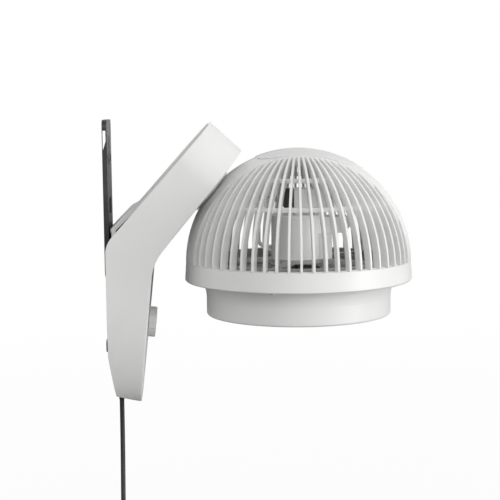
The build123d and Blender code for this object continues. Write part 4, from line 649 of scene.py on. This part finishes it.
# Rotor. A five-blade impeller moulded in grey polypropylene, glossy on its faces, pushed on a
# ground steel shaft and held by a black nut.
blade_pp = grained("polypropylene_blades_moulded", "#b3b6b9", 0.28, 5.0, 0.02, mottle=0.03, edge_mm=0.5)
dress(blade_pp, "fan_blades")
dress(ground_steel, "motor_shaft")
dress(core_sheets, "rotor_core")
dress(black_pbt, "blade_nut")

# Studio. A pale floor just below the plug keeps the fan's soft shadow; to the camera it turns
# white further off, as the photograph's background is. A soft key lamp stands to the right, a
# weaker one beside the camera and the weakest on the wall's side.
FLOOR_Z, FLOOR_HALF = -0.475, 9.0
MIDDLE = Vector((0.16, 0.0, -0.07))  # of the fan
PALE_TO, WHITE_FROM = 0.5, 2.2  # metres from the fan's middle
floor_finish, tree, output = new_material("pale_floor")
where = add_node(tree, "ShaderNodeTexCoord").outputs["Object"]
away = add_node(
    tree,
    "ShaderNodeVectorMath",
    {"operation": "DISTANCE", 1: (MIDDLE.x, MIDDLE.y, FLOOR_Z)},
    {0: where},
)
fade = add_node(
    tree,
    "ShaderNodeMapRange",
    {"From Min": PALE_TO, "From Max": WHITE_FROM, "To Min": 0.965, "To Max": 1.0},
    {"Value": away.outputs["Value"]},
)
path = add_node(tree, "ShaderNodeLightPath")
matte = add_node(tree, "ShaderNodeBsdfDiffuse", {"Color": linear("#8a8a89")})
white = add_node(tree, "ShaderNodeEmission", {"Color": linear("#ffffff"), "Strength": 1.0})
seen = add_node(
    tree,
    "ShaderNodeMath",
    {"operation": "MULTIPLY"},
    {0: path.outputs["Is Camera Ray"], 1: fade.outputs[0]},
)
mix = add_node(
    tree, "ShaderNodeMixShader", {}, {0: seen.outputs[0], 1: matte.outputs[0], 2: white.outputs[0]}
)
tree.links.new(mix.outputs[0], output.inputs["Surface"])
floor_mesh = bpy.data.meshes.new("floor")
corners = ((-1, -1), (1, -1), (1, 1), (-1, 1))
floor_mesh.from_pydata(
    [(x * FLOOR_HALF, y * FLOOR_HALF, FLOOR_Z) for x, y in corners], [], [(0, 1, 2, 3)]
)
floor = bpy.data.objects.new("floor", floor_mesh)
bpy.context.scene.collection.objects.link(floor)
floor_mesh.materials.append(floor_finish)

world = bpy.data.worlds.new("studio")
bpy.context.scene.world = world
world.use_nodes = True
world.node_tree.nodes.clear()
tree = world.node_tree
path = add_node(tree, "ShaderNodeLightPath")
shown = path.outputs["Is Camera Ray"]
for ray in ("Is Glossy Ray", "Is Transmission Ray"):
    either = add_node(
        tree, "ShaderNodeMath", {"operation": "MAXIMUM"}, {0: shown, 1: path.outputs[ray]}
    )
    shown = either.outputs[0]
soft = add_node(tree, "ShaderNodeBackground", {"Color": linear("#ffffff"), "Strength": 0.585})
plain = add_node(tree, "ShaderNodeBackground", {"Color": linear("#ffffff"), "Strength": 1.0})
mix = add_node(tree, "ShaderNodeMixShader", {}, {0: shown, 1: soft.outputs[0], 2: plain.outputs[0]})
output = add_node(tree, "ShaderNodeOutputWorld")
tree.links.new(mix.outputs[0], output.inputs["Surface"])


def soft_box(name, spot, size, watts):
    """A square studio lamp turned towards the fan."""
    data = bpy.data.lights.new(name, "AREA")
    data.shape = "SQUARE"
    data.size = size
    data.energy = watts
    lamp = bpy.data.objects.new(name, data)
    bpy.context.scene.collection.objects.link(lamp)
    lamp.location = spot
    lamp.rotation_euler = (MIDDLE - Vector(spot)).to_track_quat("-Z", "Y").to_euler()


soft_box("key_lamp", (1.81, -0.95, 0.0), 0.9, 17.5)
soft_box("front_lamp", (0.32, -1.75, 0.60), 1.2, 7.0)
soft_box("side_lamp", (-1.65, -0.32, 0.42), 1.2, 3.0)
